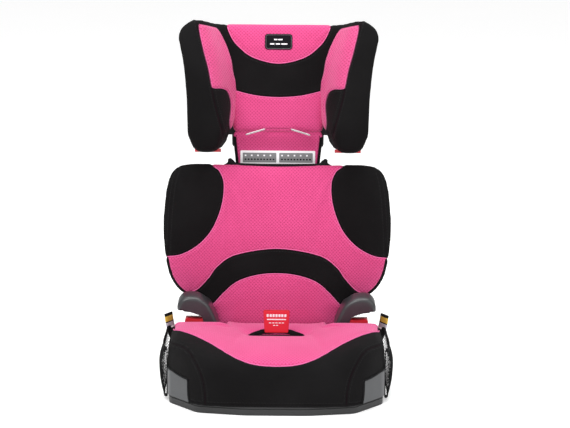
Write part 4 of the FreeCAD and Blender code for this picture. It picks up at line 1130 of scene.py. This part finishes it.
def build_neck():
    """Flat panel between the headrest and the backrest."""
    loop = smooth_path(NECK_EDGE, 200, closed=True)
    facing = inward(loop)
    rings = []
    for share in (0.95, 0.7, 0.4, 0.15):
        rings.append((loop + (NECK_MIDDLE - loop) * share, 39.6))
    for inset, depth in ((1.5, 39.6), (0.3, 38.6), (0, 37.0)):
        rings.append((loop + facing * inset, depth))
    rear = [np.column_stack((flat, np.full(len(flat), depth))) for flat, depth in rings]
    front = []
    for inset, lift in ((0, 3.0), (0.6, 1.2), (2.2, 0.2), (5, 0)):
        flat = loop + facing * inset
        front.append(np.column_stack((flat, neck_surface(flat[:, 1]) + lift)))
    inner = loop + facing * 5
    for share in np.linspace(0.06, 0.96, 30):
        flat = inner + (NECK_MIDDLE - inner) * share
        front.append(np.column_stack((flat, neck_surface(flat[:, 1]))))
    rings = [leaning(ring[:, [0, 2, 1]]) for ring in rear + front]
    panel = refined(ring_solid("neck_panel", rings))
    dress_in_cloth(panel, neck_fields(coordinates(panel)))
    settle(panel, "headrest", CUSHION_SLOT, "neck_pad")


# ---- Labels and small trim ----
LABEL_SLOT = "label_cloth"


def patch_on(name, tree, outline, centre, lift, thickness, material):
    """Thin label laid over a cover, drawn on the back frame round a centre."""
    rings = [(outline * share, lift + thickness) for share in (0.02, 0.25, 0.5, 0.75, 0.97, 1.0)]
    rings.append((outline, lift))
    placed = [seam_on_back(flat + centre, tree, 0) - REAR * rise for flat, rise in rings]
    return ring_solid(name, placed, material)


def build_head_label(tree):
    """Satin patch at the top of the headrest with two rows of plain marks."""
    centre = np.array((0.0, 573.5))
    patch = patch_on("label_patch_cloth", tree, rounded_box(56, 32, 6), centre, 0.2, 0.9, DARK_LABEL)
    settle(patch, "headrest", LABEL_SLOT, "label_patch")
    border = rounded_box(51.5, 27.5, 4) + centre
    edge = seam_on_back(np.vstack((border, border[:1])), tree, 1.25)
    settle(sweep("label_patch_border", edge, circle(0.28, 6), GREY_LABEL), "headrest")
    marks = ((-6, 4.5, 7), (3.5, 4.5, 9), (-13, -4.5, 9), (-1.5, -4.5, 9), (11.5, -4.5, 13))
    for number, (x, z, width) in enumerate(marks, 1):
        block, spot = rounded_box(width, 2.6, 1.0, 3), centre + (x, z)
        settle(patch_on(f"label_mark_{number}", tree, block, spot, 1.1, 0.35, WHITE_LABEL), "headrest")


def build_size_label():
    """Height guide sewn across the neck: white frame, two grey panels, rows of dots."""

    def place(a, b, depth):
        return on_back(a, b, 32.8 - depth)

    outline = rounded_box(154, 29, 2.0) + (0, 337)
    white = slab("height_guide_frame", outline, 0.2, 1.3, place, WHITE_LABEL, 0.5, rough=True)
    settle(white, "headrest", LABEL_SLOT, "size_label")
    for side, turn in SIDES:
        middle = 37.5 * turn
        outline = rounded_box(69, 20, 1.5) + (middle, 337)
        panel = slab("height_guide_panel_" + side, outline, 1.0, 1.5, place, GREY_LABEL, 0.2, rough=True)
        settle(panel, "headrest")
        for row, z, every, material in (("upper", 341.5, 2, WHITE_LABEL), ("lower", 333.5, 1, DARK_LABEL)):
            for k in range(0, 10, every):
                spot = rounded_box(3.6, 3.2, 1.0, 3) + (middle + (k - 4.5) * 6.4, z)
                name = f"height_guide_{row}_{side}_{k + 1}"
                settle(slab(name, spot, 1.3, 1.66, place, material, 0.1, rough=True), "headrest")


def build_slits():
    """Bound slots where the headrest cushion meets the neck panel."""
    profile = band(3.4, 8.0)
    for side, turn in SIDES:
        path = smooth_path(np.array([(66, 383.5), (53, 387.5), (39, 391.6), (26, 395.5)]) * (turn, 1), 24)
        line = on_back(path[:, 0], path[:, 1], np.full(len(path), HEAD_FRONT - 7.5))
        trim = sweep("slot_lip_" + side, line, profile, WHITE_LABEL, hint=REAR)
        points = coordinates(trim)
        taper = np.minimum(1.0, 0.35 + 3.0 * np.sin(np.linspace(0, math.pi, len(line))))
        for k, (spot, share) in enumerate(zip(line, taper)):
            ring = slice(k * len(profile), (k + 1) * len(profile))
            points[ring] = spot + (points[ring] - spot) * share
        set_coordinates(trim, points)
        settle(trim, "headrest", LABEL_SLOT, "slot_trims")


# ---- Belt horns ----
HORN_CAP = [
    (117, 73), (117, 98), (118.5, 110), (123, 122), (130, 137), (138, 151), (148, 162), (160, 168),
    (174, 169.5), (187, 167), (195.5, 159),
]
HORN_HOOK = HORN_CAP + [
    (199.5, 148), (196, 143.5), (188, 146), (178, 149), (166, 149), (157, 146), (149, 137), (143, 122),
    (141, 107), (140.5, 90), (140.5, 73),
]
HORN_FACE = HORN_CAP + [
    (200, 147), (200.5, 136.5), (197, 134), (186, 134), (172, 134), (160, 132), (153, 126), (147, 115),
    (142.5, 103), (141, 90), (141, 73),
]
HORN_WEB = [
    (139, 119), (187, 119), (187.5, 126), (191, 134), (195, 141), (192, 150), (178, 155), (154, 155),
    (142, 142),
]


def on_section(a, b, depth):
    """Drawing plane across the seat: a across, b up, depth to the rear."""
    return np.column_stack((a, depth, b))


def build_horns():
    """Domed belt horns with a web behind the hook, smooth like moulded parts."""
    hook, face = (smooth_path(section, 150, closed=True) for section in (HORN_HOOK, HORN_FACE))
    low, high, radius = 47.5, 113.0, 10.0
    rings = []
    for y in end_stations(low, high, radius, 8, 12, 16):
        loop = face + (hook - face) * ease((y - low - 9) / 6)
        flat = loop + inward(loop) * (0.55 * end_inset(y, low, high, radius))
        slope = 6.0 * ease((low + 26 - y) / 26) + 11.0 * ease((y - 74) / 38)
        height = flat[:, 1] - slope * ease((flat[:, 1] - 142) / 26)
        rings.append(on_section(flat[:, 0], height, np.full(len(flat), y)))
    left = relaxed(resurfaced(ring_solid("belt_horn_left", rings), 1.9), 14)
    left.data.materials.clear()
    left.data.materials.append(HORN_GREY)
    right = mirrored(left, "belt_horn_right")
    web = slab("belt_horn_web_left", HORN_WEB, 103.0, 110.5, on_section, BLACK_PLASTIC, 1.2)
    web_twin = mirrored(web, "belt_horn_web_right")
    for piece, side in ((left, "left"), (right, "right"), (web, "left"), (web_twin, "right")):
        settle(piece, "base", "dark_grey_plastic", "armrest_" + side)


# ---- Crotch clip ----
WEBBING_SLOT = "black_webbing"


def build_clip():
    """Webbing either side of the red clip, the strap below it, and the clip's face with plain marks."""
    path = smooth_path([
        (-56, 0.5, 96), (-52, 0, 101.5), (-43, -1.5, 106), (-34, -3, 109.5), (-25, -1.5, 111.5),
        (0, 0.2, 112.5), (25, -1.5, 111.5), (34, -3, 109.5), (43, -1.5, 106), (52, 0, 101.5),
        (56, 0.5, 96),
    ], 70)
    strap = sweep("clip_webbing", path, band(2.0, 9.0), WEBBING, hint=(0, 0, 1))
    points = coordinates(strap)
    points[:, 1] += 1.2 * np.sin(points[:, 0] * 0.13) + 0.7 * np.sin(points[:, 0] * 0.31 + points[:, 2] * 0.2)
    points[:, 2] -= 4.5
    set_coordinates(strap, points)
    settle(strap, "clip", WEBBING_SLOT, "clip_strap")
    path = [(0, 0, 47), (0, 0, 60), (0, 0.3, 80), (0, 0, 99)]
    tail = sweep("clip_webbing_tail", path, band(104, 2.2), WEBBING)
    settle(tail, "base", WEBBING_SLOT, "clip_anchor_strap")

    def place(a, b, depth):
        return on_section(a, b, -6.0 - depth)

    outline = [
        (-22.4, 107), (22.4, 107), (23.4, 108.5), (25.8, 148), (24.4, 151), (-24.4, 151), (-25.8, 148),
        (-23.4, 108.5),
    ]
    settle(slab("clip_face", outline, 0.0, 0.8, place, RED_LABEL, 0.6, rough=True), "clip")
    marks = [(x, 141.5, 4.2, 5.6) for x in (-17.5, -11.5, -5.8, 0, 5.8, 11.5, 17.5)]
    marks += [(0, 133.6, 38, 2.3)]
    marks += [(x, 126.5, 4.8, 1.7) for x in (-12.6, -6.3, 0, 6.3, 12.6)]
    marks += [(x, 121.5, 4.2, 1.7) for x in (-4.6, 1.2)]
    for number, (x, z, width, height) in enumerate(marks, 1):
        block = rounded_box(width, height, 0.7, 3) + (x, z)
        settle(slab(f"clip_mark_{number}", block, 0.7, 1.05, place, WHITE_LABEL, 0.12, rough=True), "clip")


def build_slot_lips(tree):
    """Bound edge of the slot in the seat."""
    outline = rounded_box(110, 13.5, 6.4, 8)
    path = seam_from_above(outline - (0, 0.5), tree, 0.3)
    path[:, 2] = np.maximum(path[:, 2], np.max(path[:, 2]) - 3.0)
    lips = sweep("slot_lips", path, circle(1.5, 8), BLACK_WELT, closed=True, hint=(0.2, 0.1, 1))
    settle(lips, "base", "black_plastic", "clip_bezel")


# ---- Net pockets and pull tabs ----
POCKET_FRONT, POCKET_REAR, POCKET_FLOOR, POCKET_MOUTH = -118.0, 40.0, 9.0, 101.0


def pocket_point(run, rise):
    """Point of the left net: run 0 to 1 from front to rear, rise 0 to 1 from the foot to the mouth."""
    bulge = 18.0 * (0.12 + 0.88 * math.sin(math.pi * (0.10 + 0.78 * rise)))
    gather = 1.0 - 0.04 * math.sin(math.pi * min(1.0, rise * 1.2))
    angle = math.pi * run
    middle, half = (POCKET_FRONT + POCKET_REAR) / 2, (POCKET_REAR - POCKET_FRONT) / 2
    slack = 0.9 * math.sin(9 * run + 5 * rise) * math.sin(angle)
    return np.array((
        211.6 + (bulge + slack) * math.sin(angle) ** 0.42, middle - half * gather * math.cos(angle),
        POCKET_FLOOR + (POCKET_MOUTH - POCKET_FLOOR) * rise,
    ))


def both_sides(piece, slot, stands_for=None):
    """Settles a left piece of the base and its mirror image."""
    twin = mirrored(piece, piece.name.replace("left", "right"))
    for item, side in ((piece, "left"), (twin, "right")):
        settle(item, "base", slot, *([stands_for + side] if stands_for else []))


def build_pockets():
    """Diamond net pockets with gathered elastic hems."""
    columns, rows = 26, 15
    points, faces, known = [], [], {}

    def corner(i, j):
        if (i, j) not in known:
            known[(i, j)] = len(points)
            points.append(pocket_point(i / (2 * columns), j / (2 * rows)))
        return known[(i, j)]

    for i in range(1, 2 * columns):
        for j in range(1, 2 * rows):
            if (i + j) % 2 == 0:
                continue
            faces.append((corner(i - 1, j), corner(i, j - 1), corner(i + 1, j), corner(i, j + 1)))
    net = new_mesh("pocket_net_left", points, faces, NET)
    changed(net, "WIREFRAME", thickness=0.85 * MM, use_replace=True, use_even_offset=True)
    path = np.array([pocket_point(run, 1.0) for run in np.linspace(0, 1, 120)])
    wave = np.sin(np.linspace(0, 46 * math.pi, len(path)))
    path[:, 2] += 2.5 + 0.25 * wave
    path[:, 0] += 0.35 * wave
    hem = sweep("pocket_elastic_left", path, band(2.6, 7.4), HEM, hint=(0, 0, 1))
    foot = np.array([pocket_point(run, 0.0) for run in np.linspace(0, 1, 80)])
    foot[:, 2] += 1.5
    pieces = [(net, "side_pocket_"), (hem, "pocket_hem_")]
    pieces.append((sweep("pocket_binding_left", foot, band(2.8, 6.0), HEM, hint=(0, 0, 1)), None))
    for end, run in (("front", 0.0), ("rear", 1.0)):
        post = np.array([pocket_point(run, rise) for rise in np.linspace(0, 1.02, 30)]) - (0.4, 0, 0)
        binding = sweep(f"pocket_{end}_bind_left", post, band(7.0, 1.8), HEM, hint=(1, 0, 0))
        pieces.append((binding, None))
    for piece, stands_for in pieces:
        both_sides(piece, "black_net", stands_for)


def build_pull_tabs():
    """Folded pull tabs of the lower anchor straps, with their sewn tapes."""
    path = smooth_path([
        (209.5, 108, 31), (209.8, 108, 58), (212.5, 106, 73), (216, 105, 88), (219, 105, 104),
        (220.5, 105, 116),
    ], 80)
    turn = np.radians(np.interp(path[:, 2], (45, 75), (90, 48)))
    hint = np.stack((np.sin(turn), np.cos(turn), np.zeros(len(turn))), axis=1)
    spans = (
        ("webbing", 0.0, 0.60, 22, 3.6, WEBBING), ("cuff", 0.59, 0.635, 22.4, 4.2, WEBBING),
        ("white_edge", 0.635, 0.675, 22.2, 4.3, WHITE_LABEL),
        ("pale_tape", 0.675, 0.79, 22.2, 4.1, PALE_LABEL),
        ("dark_edge", 0.79, 0.815, 22.3, 4.2, DARK_LABEL),
        ("gold_tape", 0.815, 0.935, 22.5, 4.4, GOLD_LABEL), ("tip", 0.93, 1.0, 22.2, 4.3, WEBBING),
    )
    last = len(path) - 1
    for label, start, end, width, thickness, material in spans:
        part = slice(round(start * last), round(end * last) + 1)
        tape = sweep(f"pull_tab_{label}_left", path[part], band(width, thickness), material, hint=hint[part])
        both_sides(tape, WEBBING_SLOT, "anchor_strap_")


def build_tether():
    """Top tether webbing on the rear of the backrest."""
    run = smooth_path([
        (0, 66.2, 262), (0, 64.2, 250), (0, 63.8, 215), (0, 64.0, 190), (0, 65.2, 178), (0, 65.2, 160),
        (0, 64.0, 148), (0, 63.8, 110), (0, 64.0, 62),
    ], 80)
    strap = sweep("tether_webbing", leaning(run), band(38, 1.4), WEBBING, hint=REAR)
    settle(strap, "backrest", WEBBING_SLOT, "tether_strap")
    for z in (70, 76, 238, 244):
        seam = leaning([(-15, 64.8, z), (0, 64.9, z), (15, 64.8, z)])
        settle(sweep(f"tether_stitch_{z}", seam, circle(0.35, 6), HEM), "backrest")


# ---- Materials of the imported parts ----
FINISHES = (
    (BASE_GREY, "base_tray base_shell"),
    (TRIM_GREY, "corner_trim"),
    (RED_PLASTIC, "lap_belt_guide shoulder_guide guide_gate belt_clip release_handle"),
    (BLACK_PLASTIC, "clip_bezel backrest_shell headrest_shell rear_cover hinge_hook"),
    (LINK_NYLON, "carriage release_link"),
    (STEEL, "guide_rail latch_pin latch_spring gate_pin hinge_rod hinge_clips clip_anchor_bar tether_anchor"),
    (STEEL, "tether_hook base_screws armrest_screws rear_cover_screws"),
    (RUBBER, "rubber_feet"), (FOAM, "foam"), (WEBBING, "strap"), (NET, "net"), (COVER, "cover"),
)
FINISH_OF = {key: finish for finish, keys in FINISHES for key in keys.split()}


def dress_nodes():
    """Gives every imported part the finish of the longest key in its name."""
    for name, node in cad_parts.items():
        best = max((key for key in FINISH_OF if key in name), key=len, default=None)
        node.data.materials.clear()
        node.data.materials.append(FINISH_OF.get(best, BLACK_PLASTIC))


# ---- Everything ----
dress_nodes()
build_backrest()
head_tree = build_headrest_centre()
build_wings()
seat_tree = build_seat()
build_neck()
build_head_label(head_tree)
build_slits()
build_size_label()
build_horns()
build_clip()
build_slot_lips(seat_tree)
build_pockets()
build_pull_tabs()
build_tether()


# ---- Studio ----
def studio_floor():
    """Large pale floor."""
    corners = [(-9000, -6000, 0), (9000, -6000, 0), (9000, 9000, 0), (-9000, 9000, 0)]
    s = Shader("studio_floor")
    pale = s.blend(s.noise(s.place(), 3.0), (0.90, 0.90, 0.90), (0.93, 0.93, 0.93))
    finish = s.finish(pale, 0.35, specular=0.3, Emission_Color=(1, 1, 1), Emission_Strength=0.28)
    new_mesh("studio_floor", corners, [(0, 1, 2, 3)], finish)


def studio_light(name, place, aim_height, size, power):
    """Square soft box facing a point on the middle line; lengths in millimetres."""
    lamp = bpy.data.lights.new(name, "AREA")
    lamp.size = size * MM
    lamp.energy = power
    holder = in_scene(name, lamp)
    aim = (0, 0, aim_height)
    holder.location = Vector(place) * MM
    holder.rotation_euler = (Vector(aim) * MM - holder.location).to_track_quat("-Z", "Y").to_euler()


def studio_world():
    """Even white surroundings."""
    world = bpy.data.worlds.new("studio")
    world.use_nodes = True
    bpy.context.scene.world = world
    sky = world.node_tree.nodes["Background"]
    sky.inputs["Color"].default_value = (1, 1, 1, 1)
    seen = world.node_tree.nodes.new("ShaderNodeLightPath").outputs["Is Camera Ray"]
    level = world.node_tree.nodes.new("ShaderNodeMapRange")
    level.inputs["To Min"].default_value = 0.72
    level.inputs["To Max"].default_value = 1.0
    world.node_tree.links.new(seen, level.inputs["Value"])
    world.node_tree.links.new(level.outputs[0], sky.inputs["Strength"])


def studio_camera():
    """Long lens four metres away, looking down by 12 degrees."""
    lens = bpy.data.cameras.new("camera")
    lens.lens, lens.sensor_width = 127.6, 36.0
    lens.shift_x, lens.shift_y = 0.0135, 0.0040
    lens.clip_end = 60.0
    camera = in_scene("camera", lens)
    target = np.array((0.0, 30.0, 335.0))
    away, rise = 4000.0, math.radians(12.0)
    spot = target + away * np.array((0.0, -math.cos(rise), math.sin(rise)))
    camera.location = Vector(spot) * MM
    facing = Vector(target - spot).to_track_quat("-Z", "Y")
    roll = Matrix.Rotation(math.radians(0.45), 4, "Z")
    camera.rotation_euler = (facing.to_matrix().to_4x4() @ roll).to_euler()
    bpy.context.scene.camera = camera


studio_floor()
studio_light("key", (-1500, -2600, 2800), 350, 1800, 72)
studio_light("fill", (2200, -2200, 1900), 350, 1800, 26)
studio_light("top", (0, -100, 3000), 300, 2400, 80)
studio_world()
studio_camera()
bpy.context.scene.view_settings.view_transform = "Standard"
